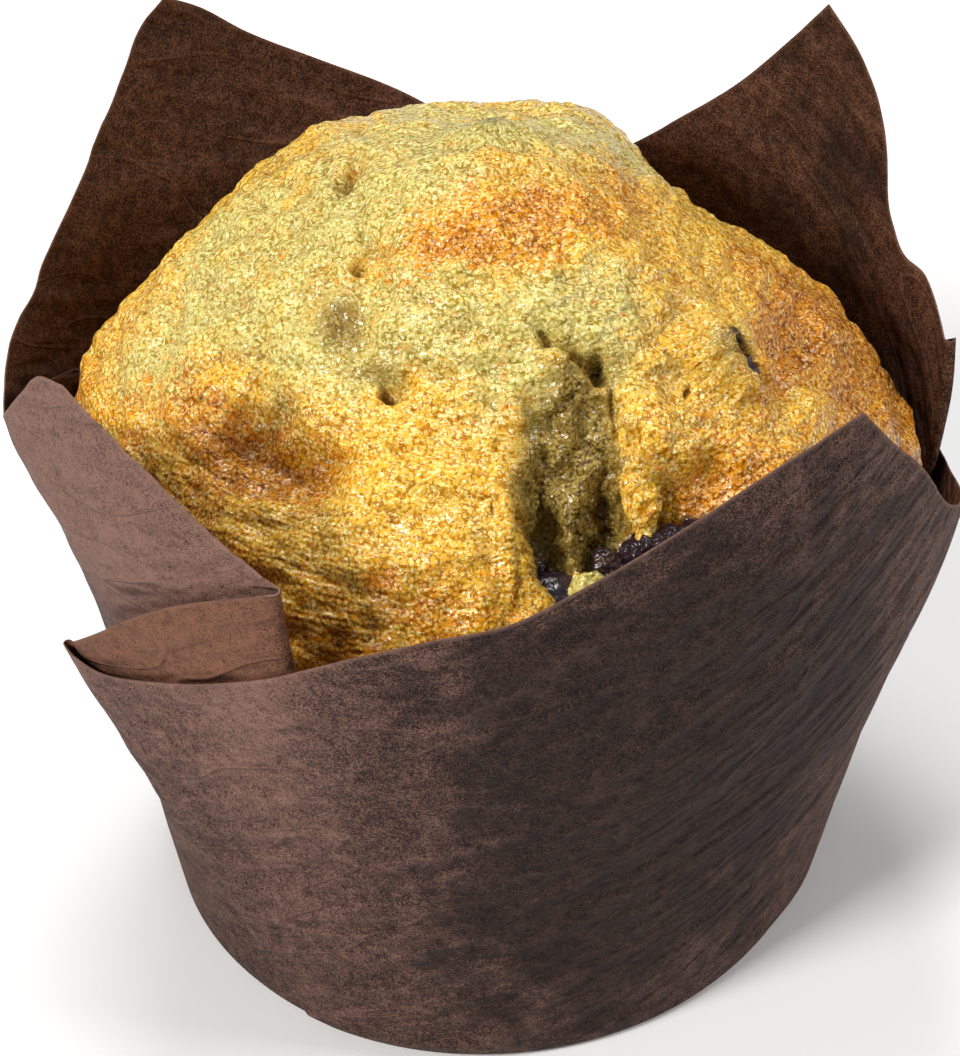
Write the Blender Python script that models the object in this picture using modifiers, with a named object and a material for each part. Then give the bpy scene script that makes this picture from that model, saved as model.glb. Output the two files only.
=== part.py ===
"""A berry muffin baked in a folded paper case, with its berries.

Metres, +Z up. The origin is the centre of the case's flat underside, and the muffin's front faces -Y.
Sizes are given in millimetres and multiplied by MM where a mesh is made.
"""
import math

import bmesh
import bpy
import numpy as np
from mathutils import Vector, noise

MM = 0.001

# Paper case. A square sheet is pressed into a round cup. Its corners stand up as petals, and between
# two petals the slack is laid over in a flat pleat of three layers.
PAPER_THICKNESS = 0.2
TURN_RADIUS_BASE = 0.3
TURN_RADIUS_RIM = 0.42
BASE_EDGE_RADIUS = 0.8
BASE_EDGE_ROW = 0.24
FOLD_START_HEIGHT = 2.5

# Where an outer layer has come back to the wall, as a share of the way past the pleat.
FIRST_LAYER_SETTLES = 0.9
LAST_LAYER_LEAVES = 1.15

# The pocket that stands off round a pleat's outer fold: its width in degrees, and how it grows with height.
POCKET_FLARE_WIDTH = 16.0
POCKET_FLARE_POWER = 1.5
POCKET_FLARE_LIMIT = 1.2

# The cup's wall by height: its radius, and how far its centre leans towards +X.
WALL_HEIGHTS = (0.0, 20.0, 43.0, 60.0, 75.0)
WALL_RADII = (29.2, 32.6, 37.1, 40.3, 41.2)
WALL_SHIFTS = (0.0, 0.7, 1.9, 0.6, 0.3)

# One pleat for each quarter, anticlockwise from the front left petal. The first stretch of paper runs
# from a petal to the pleat's forward turn, the second runs back, and the third runs on to the next petal.
# Each stretch gives its rim as (azimuth in degrees, height in millimetres), from its start to its end.
PLEATS = (
    {
        "base_azimuth": 240.0,
        "outer_stretch_first": False,
        "pocket_flare": 2.6,
        "rims": (
            ((223, 72.2), (227, 71.2), (232, 69.4), (238, 66.7), (243, 63.4), (247.5, 60.8)),
            ((247.5, 60.8), (238, 57.4), (229, 53.0), (219, 46.9), (210, 41.2)),
            ((210, 41.2), (217, 42.3), (229, 45.7), (243, 50.8), (257, 56.8), (264, 59.0), (272, 60.4),
             (279, 63.0), (291, 67.1), (301, 69.5), (310.4, 70.5)),
        ),
    },
    {
        "base_azimuth": 350.0,
        "outer_stretch_first": True,
        "pocket_flare": 0.5,
        "rims": (
            ((310.4, 70.5), (315, 66.4), (321, 61.7), (332, 52.0), (345, 45.5), (357, 41.0), (389, 39.0)),
            ((389, 39.0), (380, 44.0), (368, 50.5)),
            ((368, 50.5), (377, 52.6), (385, 53.8), (388, 57.0), (389.3, 60.4), (391.3, 63.6), (394.5, 66.6),
             (401.5, 70.7)),
        ),
    },
    {
        "base_azimuth": 448.0,
        "outer_stretch_first": False,
        "pocket_flare": 0.5,
        "rims": (
            ((401.5, 70.7), (407, 65.8), (413, 60.8), (422, 55.3), (430, 51.2), (442, 47.0), (463, 44.5)),
            ((463, 44.5), (448, 44.0), (433, 42.5)),
            ((433, 42.5), (446, 47.5), (459, 54.5), (471, 59.9), (480, 64.6), (486, 68.5), (491, 70.9)),
        ),
    },
    {
        "base_azimuth": 532.0,
        "outer_stretch_first": True,
        "pocket_flare": 0.6,
        "rims": (
            ((491, 70.9), (495, 69.0), (500, 64.4), (509, 58.5), (516, 55.6), (523, 53.6), (533, 52.6),
             (543, 50.5)),
            ((543, 50.5), (534, 48.5), (525, 46.0)),
            ((525, 46.0), (540, 51.7), (556, 57.0), (566, 62.5), (573, 67.4), (578, 71.0), (583, 72.2)),
        ),
    },
)

# Columns of faces in a stretch of paper, in the pleat's middle stretch and in a turn, and rows up the wall.
STRETCH_COLUMNS = 11
MIDDLE_COLUMNS = 4
TURN_COLUMNS = 2
WALL_ROWS = 8
MERGE_DISTANCE = 0.01

# Steps that settle a column's rim on the rim's outline, from a first height.
RIM_STEPS = 30
RIM_FIRST_HEIGHT = 50.0

# Muffin: a body that fills the cup and a crown that domes out of it.
BODY_BOTTOM = 0.8
BODY_EDGE_RADIUS = 2.0
BODY_EDGE_ANGLES = (30.0, 60.0, 90.0)
BODY_CLEARANCE = 1.0
CROWN_CENTRE = (1.9, 0.6)
CROWN_RADII = (37.2, 37.3)
CROWN_START = 37.4
CROWN_HEIGHT = 36.4
CROWN_LEAN = (-0.5, 7.2)
CROWN_TILT = -4.0
CROWN_SIDE_EXPONENT = 1.68
CROWN_FRONT_EXPONENT = 1.3
CROWN_TOP_EXPONENT = 1.2
PROFILE_STEPS_BODY = 14
PROFILE_STEPS_CROWN = 44
TURN_STEPS = 120
MUFFIN_TRIANGLES = 5200

# Swells and hollows of the crown, seen from above: centre x and y, half length and half width, turn in
# degrees, height (below zero for a hollow) and how flat the top is (1 is a soft hill, 3 a steep plateau).
CROWN_FORMS = (
    ("middle lobe", 3.0, -7.0, 14.0, 9.5, 0.0, 1.5, 3.0),
    ("flat top", 0.0, 14.0, 9.0, 9.0, 0.0, -3.4, 1.0),
    ("left shoulder", -30.0, 3.0, 9.0, 9.0, 0.0, 1.4, 1.0),
    ("back left shoulder", -14.0, 24.0, 9.0, 9.0, 0.0, 1.0, 1.0),
    ("back shoulder", 4.0, 27.0, 9.0, 9.0, 0.0, 1.2, 1.0),
    ("top right shoulder", 10.0, 21.5, 3.6, 7.0, 0.0, 1.5, 1.0),
    ("back right hollow", 18.5, 17.5, 5.0, 8.0, -20.0, -3.0, 1.0),
    ("back left hollow", -31.0, 12.0, 5.0, 6.0, 0.0, -1.3, 1.0),
    ("back left notch", -23.0, 18.5, 3.0, 4.0, 0.0, -1.0, 1.0),
    ("right shoulder", 31.0, 2.0, 9.0, 10.0, 0.0, 1.4, 1.0),
    ("front left shelf", -13.0, -27.0, 15.0, 5.5, -24.0, 1.0, 1.5),
    ("front right lobe", 25.0, -13.0, 7.0, 9.0, 20.0, 1.0, 1.0),
    ("swell over the side berry", 19.5, -10.4, 3.2, 3.0, 0.0, 1.5, 1.5),
    ("crust above the lip", 15.6, -15.8, 3.4, 2.2, 30.0, 0.8, 1.2),
    ("left dent", -18.6, -14.9, 5.0, 2.4, -35.0, -2.8, 1.0),
    ("front left dent", -14.0, -19.2, 4.0, 1.8, -25.0, -2.2, 1.0),
    ("swell between the dents", -14.5, -15.6, 3.5, 1.6, -30.0, 1.0, 1.0),
    ("groove inside the left shelf", -24.4, 0.0, 9.0, 1.3, 78.0, -1.1, 1.0),
    ("ledge left of the middle lobe", -8.6, -9.0, 1.5, 6.0, -12.0, -1.3, 1.0),
    ("ledge under the middle lobe", -4.6, -15.8, 3.2, 0.9, -8.0, -0.9, 1.0),
    ("groove behind the middle lobe", 1.0, 4.0, 12.0, 1.8, -4.0, -1.1, 1.0),
    ("swell in front", -3.0, -25.0, 10.0, 3.0, 4.0, 1.0, 1.0),
    ("right groove", 24.4, -4.5, 1.7, 6.0, -18.0, -2.2, 1.0),
    ("groove under the lip", 17.2, -19.4, 4.0, 1.3, 34.0, -1.7, 1.0),
    ("pit", 7.0, -21.8, 4.2, 3.8, 0.0, -3.0, 1.5),
    ("top of the pit", 9.4, -17.6, 2.2, 3.0, -20.0, -1.3, 1.2),
    ("lump in the pit", 7.6, -20.6, 2.6, 2.8, 0.0, 1.1, 1.0),
    ("tongue", 13.2, -18.2, 1.8, 3.2, -10.0, 1.2, 1.5),
    ("hollow of the front berry", 12.8, -24.0, 4.9, 3.9, 0.0, -4.9, 2.5),
    ("gap between the berries", 8.4, -26.0, 2.2, 2.4, 0.0, -1.6, 1.0),
    ("crevice of the left berry", 5.1, -25.0, 1.7, 3.2, 23.0, -4.0, 2.0),
    ("torn skin over the side berry", 19.9, -10.1, 1.4, 1.2, 0.0, -1.1, 1.0),
    ("crack above the pit", 6.8, -13.9, 2.8, 1.0, -16.0, -1.3, 1.5),
    ("left pore", -7.1, -15.6, 1.8, 1.0, -15.0, -0.9, 1.0),
)
ROUGHNESS_HEIGHT = 0.45
ROUGHNESS_SIZE = 6.5
ROUGHNESS_OCTAVES = 3
RELIEF_START_HEIGHT = 8.0
RELIEF_SIDEWAYS = 0.8

# Berries: centre, radius and flattening of each.
BERRIES = {
    "berry_front": ((13.4, -24.4, 47.4), 4.6, 0.9),
    "berry_left": ((5.1, -25.3, 48.3), 2.8, 0.92),
    "berry_side": ((19.6, -10.3, 58.4), 2.7, 0.9),
}
BERRY_GAP = 0.3
BERRY_SEGMENTS = 16
BERRY_RINGS = 9

# Colours, as linear red, green and blue, and roughness.
PAPER_COLOUR = (0.105, 0.052, 0.036)
PAPER_ROUGHNESS = 0.85
CRUST_COLOUR = (0.62, 0.36, 0.085)
CRUST_ROUGHNESS = 0.45
BERRY_COLOUR = (0.022, 0.012, 0.028)
BERRY_ROUGHNESS = 0.3


def smooth_step(x):
    x = np.clip(x, 0.0, 1.0)
    return x * x * (3.0 - 2.0 * x)


def smooth_curve(x, xs, ys):
    """The smooth curve through the points (xs, ys), which runs on level past its ends."""
    xs = np.asarray(xs, float)
    ys = np.asarray(ys, float)
    if xs[0] > xs[-1]:
        xs = xs[::-1]
        ys = ys[::-1]
    slopes = np.gradient(ys, xs)
    x = np.clip(x, xs[0], xs[-1])
    k = np.clip(np.searchsorted(xs, x) - 1, 0, len(xs) - 2)
    width = xs[k + 1] - xs[k]
    t = (x - xs[k]) / width
    rise = smooth_step(t)
    bend_in = t * (1.0 - t) ** 2 * width * slopes[k]
    bend_out = t * t * (t - 1.0) * width * slopes[k + 1]
    return ys[k] + (ys[k + 1] - ys[k]) * rise + bend_in + bend_out


def wall_radius(z):
    """Radius of the cup's wall at height z, with the small round at its base."""
    across = np.clip(1.0 - np.asarray(z, float) / BASE_EDGE_RADIUS, 0.0, 1.0)
    edge = BASE_EDGE_RADIUS * (1.0 - np.sqrt(1.0 - across * across))
    return smooth_curve(z, WALL_HEIGHTS, WALL_RADII) - edge


def wall_shift(z):
    return smooth_curve(z, WALL_HEIGHTS, WALL_SHIFTS)


def wall_point(azimuth, z, out):
    """Points on the cup's wall, moved outwards by a distance."""
    radius = wall_radius(z) + out
    x = wall_shift(z) + radius * np.cos(azimuth)
    y = radius * np.sin(azimuth)
    return np.stack([x, y, z + 0.0 * azimuth], -1)


def turn_radius(z):
    """Radius of the paper's turns: the layers lie tight at the base and open towards the rim."""
    share = smooth_step(z / WALL_HEIGHTS[2])
    return TURN_RADIUS_BASE + (TURN_RADIUS_RIM - TURN_RADIUS_BASE) * share


def fold_azimuth(pleat, turn, z):
    """Azimuth in radians of a pleat's turn: both turns start at the base and lean apart as they rise."""
    azimuth, height = pleat["rims"][turn][-1]
    lean = (azimuth - pleat["base_azimuth"]) * np.clip(z / height, 0.0, 1.0)
    return np.radians(pleat["base_azimuth"] + lean)


def paper_place(pleat, stretch, part, z):
    """Azimuth and distance out of the wall for the paper at height z.

    stretch is 0 to 4: first layer, forward turn, middle layer, backward turn, last layer, and part is how
    far along the stretch the paper is.
    """
    side = -1.0 if pleat["outer_stretch_first"] else 1.0
    radius = smooth_curve(z, WALL_HEIGHTS, WALL_RADII)
    start = math.radians(pleat["rims"][0][0][0]) * radius
    end = math.radians(pleat["rims"][2][-1][0]) * radius
    forward = fold_azimuth(pleat, 0, z) * radius
    backward = fold_azimuth(pleat, 1, z) * radius
    back_length = forward - backward
    fold = math.pi * smooth_step(z / FOLD_START_HEIGHT)
    bend = turn_radius(z)
    turn_rise = bend * (1.0 - np.cos(fold))
    rise = 2.0 * turn_rise + back_length * np.sin(fold)
    if pleat["outer_stretch_first"]:
        past_pleat = (backward - start) * FIRST_LAYER_SETTLES
        first_out = rise * smooth_step(part * (forward - start) / past_pleat)
        last_out = 0.0 * part
        fold_out = rise
    else:
        past_pleat = (forward - backward) * LAST_LAYER_LEAVES
        first_out = 0.0 * part
        run = end - backward
        last_out = rise * (1.0 - smooth_step((part * run - past_pleat) / (run - past_pleat)))
        fold_out = 0.0 * rise
    back_start = forward + bend * np.sin(fold)
    back_end = back_start + back_length * np.cos(fold)
    if stretch == 0:
        along = start + (forward - start) * part
        out = first_out
    elif stretch == 1:
        along = forward + bend * np.sin(fold * part)
        out = fold_out + side * bend * (1.0 - np.cos(fold * part))
    elif stretch == 2:
        along = back_start + back_length * part * np.cos(fold)
        out = fold_out + side * (turn_rise + back_length * part * np.sin(fold))
    elif stretch == 3:
        angle = fold * (1.0 - part)
        along = back_end + bend * (np.sin(fold) - np.sin(angle))
        out = fold_out + side * (turn_rise + back_length * np.sin(fold))
        out = out + side * bend * (np.cos(angle) - np.cos(fold))
    else:
        last_start = back_end + bend * np.sin(fold)
        along = last_start + (end - last_start) * part
        out = last_out
    return along / radius, out + pocket_flare(pleat, stretch, along / radius, z)


def pocket_flare(pleat, stretch, azimuth, z):
    """How far the two outer layers of a pleat stand off round its outer fold, most at the rim."""
    outer_turn = 0 if pleat["outer_stretch_first"] else 1
    is_outer = stretch <= 2 if pleat["outer_stretch_first"] else stretch >= 2
    if not is_outer:
        return 0.0 * azimuth
    height = pleat["rims"][outer_turn][-1][1]
    reach = np.degrees(azimuth - fold_azimuth(pleat, outer_turn, z)) / POCKET_FLARE_WIDTH
    growth = np.clip(z / height, 0.0, POCKET_FLARE_LIMIT) ** POCKET_FLARE_POWER
    return pleat["pocket_flare"] * growth * np.exp(-reach * reach)


def rim_height(pleat, stretch, part):
    """Height of the paper's rim on each column, where the column's own azimuth meets the rim's outline."""
    rims = pleat["rims"]
    if stretch in (1, 3):
        return np.full(part.shape, rims[stretch // 2][-1][1], float)
    outline = rims[stretch // 2]
    azimuths = [point[0] for point in outline]
    heights = [point[1] for point in outline]
    z = np.full(part.shape, RIM_FIRST_HEIGHT)
    for _step in range(RIM_STEPS):
        azimuth, _out = paper_place(pleat, stretch, part, z)
        z = 0.5 * (z + smooth_curve(np.degrees(azimuth), azimuths, heights))
    return z


def paper_columns(stretch_columns, middle_columns, turn_columns):
    """The columns once round the case, each as its pleat, stretch and part of the stretch."""
    counts = (stretch_columns, turn_columns, middle_columns, turn_columns, stretch_columns)
    for pleat in PLEATS:
        for stretch, count in enumerate(counts):
            yield pleat, stretch, np.arange(count) / count


def paper_grid(stretch_columns, middle_columns, turn_columns, wall_rows):
    """Points of the folded sheet in millimetres: columns round the case, and rows from base to rim."""
    low_rows = np.array([0.0, BASE_EDGE_ROW, BASE_EDGE_RADIUS, FOLD_START_HEIGHT])
    columns = []
    for pleat, stretch, part in paper_columns(stretch_columns, middle_columns, turn_columns):
        rim = rim_height(pleat, stretch, part)
        for one_part, one_rim in zip(part, rim):
            high_rows = np.linspace(FOLD_START_HEIGHT, one_rim, wall_rows + 1)[1:]
            z = np.concatenate([low_rows, high_rows])
            azimuth, out = paper_place(pleat, stretch, one_part, z)
            columns.append(wall_point(azimuth, z, out))
    return np.array(columns)


def make_paper_case(collection):
    grid = paper_grid(STRETCH_COLUMNS, MIDDLE_COLUMNS, TURN_COLUMNS, WALL_ROWS) * MM
    mesh = bmesh.new()
    rows = [[mesh.verts.new(point) for point in column] for column in grid]
    for k, column in enumerate(rows):
        following = rows[(k + 1) % len(rows)]
        for j in range(len(column) - 1):
            mesh.faces.new((column[j], following[j], following[j + 1], column[j + 1]))
    bmesh.ops.remove_doubles(mesh, verts=mesh.verts, dist=MERGE_DISTANCE * MM)
    bmesh.ops.dissolve_degenerate(mesh, edges=mesh.edges, dist=MERGE_DISTANCE * MM)
    base_height = MERGE_DISTANCE * MM
    base_edges = [edge for edge in mesh.edges if edge.is_boundary and edge.verts[0].co.z < base_height]
    bmesh.ops.contextual_create(mesh, geom=base_edges)
    bmesh.ops.recalc_face_normals(mesh, faces=mesh.faces)
    case = new_object("paper_case", mesh, collection, PAPER_COLOUR, PAPER_ROUGHNESS)
    thickness = case.modifiers.new("Paper", "SOLIDIFY")
    thickness.thickness = PAPER_THICKNESS * MM
    thickness.offset = -1.0
    return case


def crown_relief(x, y):
    """Height of the crown's swells and hollows in millimetres at a place seen from above."""
    height = 0.0
    for _name, cx, cy, length, width, turn, rise, flatness in CROWN_FORMS:
        angle = math.radians(turn)
        along = ((x - cx) * math.cos(angle) + (y - cy) * math.sin(angle)) / length
        across = ((y - cy) * math.cos(angle) - (x - cx) * math.sin(angle)) / width
        height += rise * math.exp(-((along * along + across * across) ** flatness))
    return height


def muffin_profile():
    """Outline of the muffin for turning, top to bottom, in millimetres: radius, height and crown share."""
    points = []
    for k in range(PROFILE_STEPS_CROWN + 1):
        angle = 0.5 * math.pi * (1.0 - k / PROFILE_STEPS_CROWN)
        share = math.sin(angle) ** CROWN_TOP_EXPONENT
        radius = max(math.cos(angle), 0.0) ** CROWN_SIDE_EXPONENT * CROWN_RADII[0]
        points.append((radius, CROWN_START + CROWN_HEIGHT * share))
    for k in range(1, PROFILE_STEPS_BODY + 1):
        z = CROWN_START + (BODY_BOTTOM + BODY_EDGE_RADIUS - CROWN_START) * k / PROFILE_STEPS_BODY
        points.append((float(wall_radius(z)) - BODY_CLEARANCE, z))
    bottom_radius = points[-1][0] - BODY_EDGE_RADIUS
    for angle in BODY_EDGE_ANGLES:
        turned = math.radians(angle)
        radius = bottom_radius + BODY_EDGE_RADIUS * math.cos(turned)
        points.append((radius, BODY_BOTTOM + BODY_EDGE_RADIUS * (1.0 - math.sin(turned))))
    points.append((0.0, BODY_BOTTOM))
    return points


def fuller_front(point):
    """Widens the crown towards the front, where it leans against the paper."""
    radius = max(math.hypot(point.x, point.y), 0.001)
    front = (0.5 - 0.5 * point.y / radius) ** 2
    exponent = CROWN_SIDE_EXPONENT + (CROWN_FRONT_EXPONENT - CROWN_SIDE_EXPONENT) * front
    wider = (radius / CROWN_RADII[0]) ** (exponent / CROWN_SIDE_EXPONENT) * CROWN_RADII[0] / radius
    return Vector((point.x * wider, point.y * wider, point.z))


def shape_muffin_point(point):
    """Moves a point of the turned shape to its place on the real muffin."""
    share = max(0.0, (point.z - CROWN_START) / CROWN_HEIGHT)
    blend = float(smooth_step(point.z / CROWN_START))
    if share > 0.0:
        point = fuller_front(point)
    x = point.x + CROWN_CENTRE[0] * blend + CROWN_LEAN[0] * share
    y = point.y * (1.0 + (CROWN_RADII[1] / CROWN_RADII[0] - 1.0) * blend)
    y = y + CROWN_CENTRE[1] * blend + CROWN_LEAN[1] * share
    z = point.z + CROWN_TILT * blend * point.x / CROWN_RADII[0]
    place = Vector((x, y, z)) / ROUGHNESS_SIZE
    roughness = ROUGHNESS_HEIGHT * noise.fractal(place, 1.0, 2.0, ROUGHNESS_OCTAVES)
    crown = float(smooth_step((point.z - CROWN_START) / RELIEF_START_HEIGHT))
    relief = crown * (crown_relief(x, y) + roughness)
    sideways = RELIEF_SIDEWAYS * relief * math.hypot(point.x, point.y) / CROWN_RADII[0]
    x += sideways * (x - CROWN_CENTRE[0]) / CROWN_RADII[0]
    y += sideways * (y - CROWN_CENTRE[1]) / CROWN_RADII[1]
    return keep_inside_case(x, y, z + relief)


def keep_inside_case(x, y, z):
    """Pulls a point in to the clearance from the paper's inner layer."""
    shift = float(wall_shift(z))
    limit = float(wall_radius(z)) - BODY_CLEARANCE
    radius = math.hypot(x - shift, y)
    if radius > limit:
        x = shift + (x - shift) * limit / radius
        y = y * limit / radius
    return Vector((x, y, z))


def make_muffin(collection):
    mesh = bmesh.new()
    outline = [mesh.verts.new((radius * MM, 0.0, z * MM)) for radius, z in muffin_profile()]
    for upper, lower in zip(outline, outline[1:]):
        mesh.edges.new((upper, lower))
    muffin = new_object("muffin", mesh, collection, CRUST_COLOUR, CRUST_ROUGHNESS)
    turn = muffin.modifiers.new("Turn", "SCREW")
    turn.steps = TURN_STEPS
    turn.render_steps = TURN_STEPS
    turn.use_merge_vertices = True
    turn.merge_threshold = MERGE_DISTANCE * MM
    apply_modifiers(muffin)
    for vertex in muffin.data.vertices:
        vertex.co = shape_muffin_point(vertex.co / MM) * MM
    fewer = muffin.modifiers.new("Fewer faces", "DECIMATE")
    fewer.ratio = MUFFIN_TRIANGLES / (2.0 * len(muffin.data.polygons))
    apply_modifiers(muffin)
    return muffin


def make_berry(name, collection, grown):
    """One berry, slightly flattened. A berry grown by the gap round it is the cutter of its pocket."""
    centre, radius, flattening = BERRIES[name]
    mesh = bmesh.new()
    bmesh.ops.create_uvsphere(mesh, u_segments=BERRY_SEGMENTS, v_segments=BERRY_RINGS, radius=1.0)
    for vertex in mesh.verts:
        vertex.co *= radius + grown
        vertex.co.z *= flattening
        vertex.co += Vector(centre)
        vertex.co *= MM
    label = name + "_pocket" if grown else name
    return new_object(label, mesh, collection, BERRY_COLOUR, BERRY_ROUGHNESS)


def cut_pockets(muffin, cutters):
    """Cuts each berry's pocket out of the muffin, a little wider than the berry."""
    for name in BERRIES:
        cutter = make_berry(name, cutters, BERRY_GAP)
        cutter.hide_render = True
        cutter.display_type = "WIRE"
        cut = muffin.modifiers.new(cutter.name, "BOOLEAN")
        cut.operation = "DIFFERENCE"
        cut.object = cutter


def new_object(name, mesh, collection, colour, roughness):
    """An object of a bmesh, with its own plain material."""
    data = bpy.data.meshes.new(name)
    mesh.to_mesh(data)
    mesh.free()
    data.shade_smooth()
    item = bpy.data.objects.new(name, data)
    collection.objects.link(item)
    material = bpy.data.materials.new(name)
    material.use_nodes = True
    shader = material.node_tree.nodes["Principled BSDF"]
    shader.inputs["Base Color"].default_value = (*colour, 1.0)
    shader.inputs["Roughness"].default_value = roughness
    data.materials.append(material)
    return item


def apply_modifiers(item):
    """Replaces an object's mesh by its evaluated one and removes its modifiers."""
    bpy.context.view_layer.update()
    evaluated = item.evaluated_get(bpy.context.evaluated_depsgraph_get())
    shaped = bpy.data.meshes.new_from_object(evaluated)
    item.modifiers.clear()
    item.data = shaped


def new_collection(name):
    collection = bpy.data.collections.new(name)
    bpy.context.scene.collection.children.link(collection)
    return collection


def main():
    for item in list(bpy.data.objects):
        bpy.data.objects.remove(item, do_unlink=True)
    muffin_collection = new_collection("muffin")
    cutters = new_collection("cutters")
    make_paper_case(muffin_collection)
    muffin = make_muffin(muffin_collection)
    for name in BERRIES:
        make_berry(name, muffin_collection, 0.0)
    cut_pockets(muffin, cutters)


main()
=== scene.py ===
"""The looks of a berry muffin in its folded paper case.

Metres, +Z up, in the CAD model's frame: the origin is the centre of the case's flat underside and the
muffin's front faces -Y. Sizes are given in millimetres and multiplied by MM where a mesh is made.
"""

import math

import bmesh
import bpy
import numpy as np
from mathutils import Matrix, Vector, kdtree, noise


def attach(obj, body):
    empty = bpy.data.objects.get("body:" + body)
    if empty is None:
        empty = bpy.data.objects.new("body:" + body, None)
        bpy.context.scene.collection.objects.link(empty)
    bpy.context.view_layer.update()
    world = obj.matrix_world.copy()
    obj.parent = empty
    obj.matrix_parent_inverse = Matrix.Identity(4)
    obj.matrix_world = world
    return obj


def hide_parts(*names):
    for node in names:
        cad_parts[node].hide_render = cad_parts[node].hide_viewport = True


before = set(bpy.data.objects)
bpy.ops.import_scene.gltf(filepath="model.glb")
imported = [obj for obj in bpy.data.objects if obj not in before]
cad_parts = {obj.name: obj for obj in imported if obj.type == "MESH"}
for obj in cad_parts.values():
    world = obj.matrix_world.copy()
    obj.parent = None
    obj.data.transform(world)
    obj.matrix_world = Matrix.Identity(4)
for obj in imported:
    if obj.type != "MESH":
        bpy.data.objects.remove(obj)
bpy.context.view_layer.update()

MM = 0.001
NEAR_ZERO = 0.001
BODY = "root"

# The view of the photograph: elevation and roll in degrees, distance and target in millimetres.
VIEW_ELEVATION = 39.21
VIEW_ROLL = -1.431
VIEW_DISTANCE = 245.0
VIEW_TARGET = (-0.222, 0.0, 35.4)
VIEW_LENS = 96.16
VIEW_SENSOR = 36.0
VIEW_CLIP_START = 0.01

# Paper case, as in the CAD model: the folded sheet's turns, base edge and flared pocket.
PAPER_THICKNESS = 0.12
TURN_RADIUS_BASE = 0.3
TURN_RADIUS_RIM = 0.42
BASE_EDGE_RADIUS = 0.8
FOLD_START_HEIGHT = 2.5
POCKET_FLARE_WIDTH = 16.0
POCKET_FLARE_POWER = 1.5
POCKET_FLARE_LIMIT = 1.2
FIRST_LAYER_SETTLES = 0.9
LAST_LAYER_LEAVES = 1.15
WALL_HEIGHTS = (0.0, 20.0, 43.0, 60.0, 75.0)
WALL_RADII = (29.2, 32.6, 37.1, 40.3, 41.2)
WALL_SHIFTS = (0.0, 0.7, 1.9, 0.6, 0.3)

# One pleat for each quarter, anticlockwise from the front left petal. Each of its three stretches of
# paper gives its rim as (azimuth in degrees, height in millimetres).
PLEATS = (
    {
        "base_azimuth": 240.0,
        "outer_stretch_first": False,
        "pocket_flare": 2.6,
        "rims": (
            ((223, 72.2), (227, 71.2), (232, 69.4), (238, 66.7), (243, 63.4), (247.5, 60.8)),
            ((247.5, 60.8), (238, 57.4), (229, 53.0), (219, 46.9), (210, 41.2)),
            ((210, 41.2), (217, 42.3), (229, 45.7), (243, 50.8), (257, 56.8), (264, 59.0), (272, 60.4),
             (279, 63.0), (291, 67.1), (301, 69.5), (310.4, 70.5)),
        ),
    },
    {
        "base_azimuth": 350.0,
        "outer_stretch_first": True,
        "pocket_flare": 0.5,
        "rims": (
            ((310.4, 70.5), (315, 66.4), (321, 61.7), (332, 52.0), (345, 45.5), (357, 41.0), (389, 39.0)),
            ((389, 39.0), (380, 44.0), (368, 50.5)),
            ((368, 50.5), (377, 52.6), (385, 53.8), (388, 57.0), (389.3, 60.4), (391.3, 63.6), (394.5, 66.6),
             (401.5, 70.7)),
        ),
    },
    {
        "base_azimuth": 448.0,
        "outer_stretch_first": False,
        "pocket_flare": 0.5,
        "rims": (
            ((401.5, 70.7), (407, 65.8), (413, 60.8), (422, 55.3), (430, 51.2), (442, 47.0), (463, 44.5)),
            ((463, 44.5), (448, 44.0), (433, 42.5)),
            ((433, 42.5), (446, 47.5), (459, 54.5), (471, 59.9), (480, 64.6), (486, 68.5), (491, 70.9)),
        ),
    },
    {
        "base_azimuth": 532.0,
        "outer_stretch_first": True,
        "pocket_flare": 0.6,
        "rims": (
            ((491, 70.9), (495, 69.0), (500, 64.4), (509, 58.5), (516, 55.6), (523, 53.6), (533, 52.6),
             (543, 50.5)),
            ((543, 50.5), (534, 48.5), (525, 46.0)),
            ((525, 46.0), (540, 51.7), (556, 57.0), (566, 62.5), (573, 67.4), (578, 71.0), (583, 72.2)),
        ),
    },
)
STRETCH_COLUMNS = 72
MIDDLE_COLUMNS = 28
TURN_COLUMNS = 6
WALL_ROWS = 60
RIM_STEPS = 30
RIM_FIRST_HEIGHT = 50.0
HIDDEN_SEAM_PLEAT = 2
SMOOTH_ANGLE = 50.0
WELD_DISTANCE = 0.01
BASE_EDGE_ROW = 0.3
BASE_EDGE_HEIGHT = 0.1

# Soft waves, folds and creases of the paper in millimetres: how far each stands out and how wide it is. Folds
# and creases follow lines of a slope, the rise for a step round the case.
BROAD_WAVE = (0.42, 17.0)
SLANTED_FOLD = (0.17, 4.2)
SLANTED_CREASE = (0.12, 6.5)
CREASE_SHARPNESS = 3.0
FOLD_SLOPE = 0.75
FOLD_HEIGHT_SHARE = 0.16
UPRIGHT_SLOPE = 1000.0
PUCKER_SLOPE = 0.6
WAVES_START_HEIGHT = 3.0
WAVES_GROW_OVER = 25.0

# Muffin, as in the CAD model: a body that fills the cup and a crown that domes out of it.
BODY_BOTTOM = 0.8
BODY_EDGE_RADIUS = 2.0
BODY_CLEARANCE = 1.0
CROWN_CENTRE = (1.9, 0.6)
CROWN_RADII = (37.2, 37.3)
CROWN_START = 37.4
CROWN_HEIGHT = 36.4
CROWN_LEAN = (-0.5, 7.2)
CROWN_TILT = -4.0
CROWN_SIDE_EXPONENT = 1.68
CROWN_FRONT_EXPONENT = 1.3
CROWN_TOP_EXPONENT = 1.2
CROWN_BLEND_HEIGHT = 8.0
RELIEF_SIDEWAYS = 0.8
ROUGHNESS_HEIGHT = 0.45
ROUGHNESS_SIZE = 6.5

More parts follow.
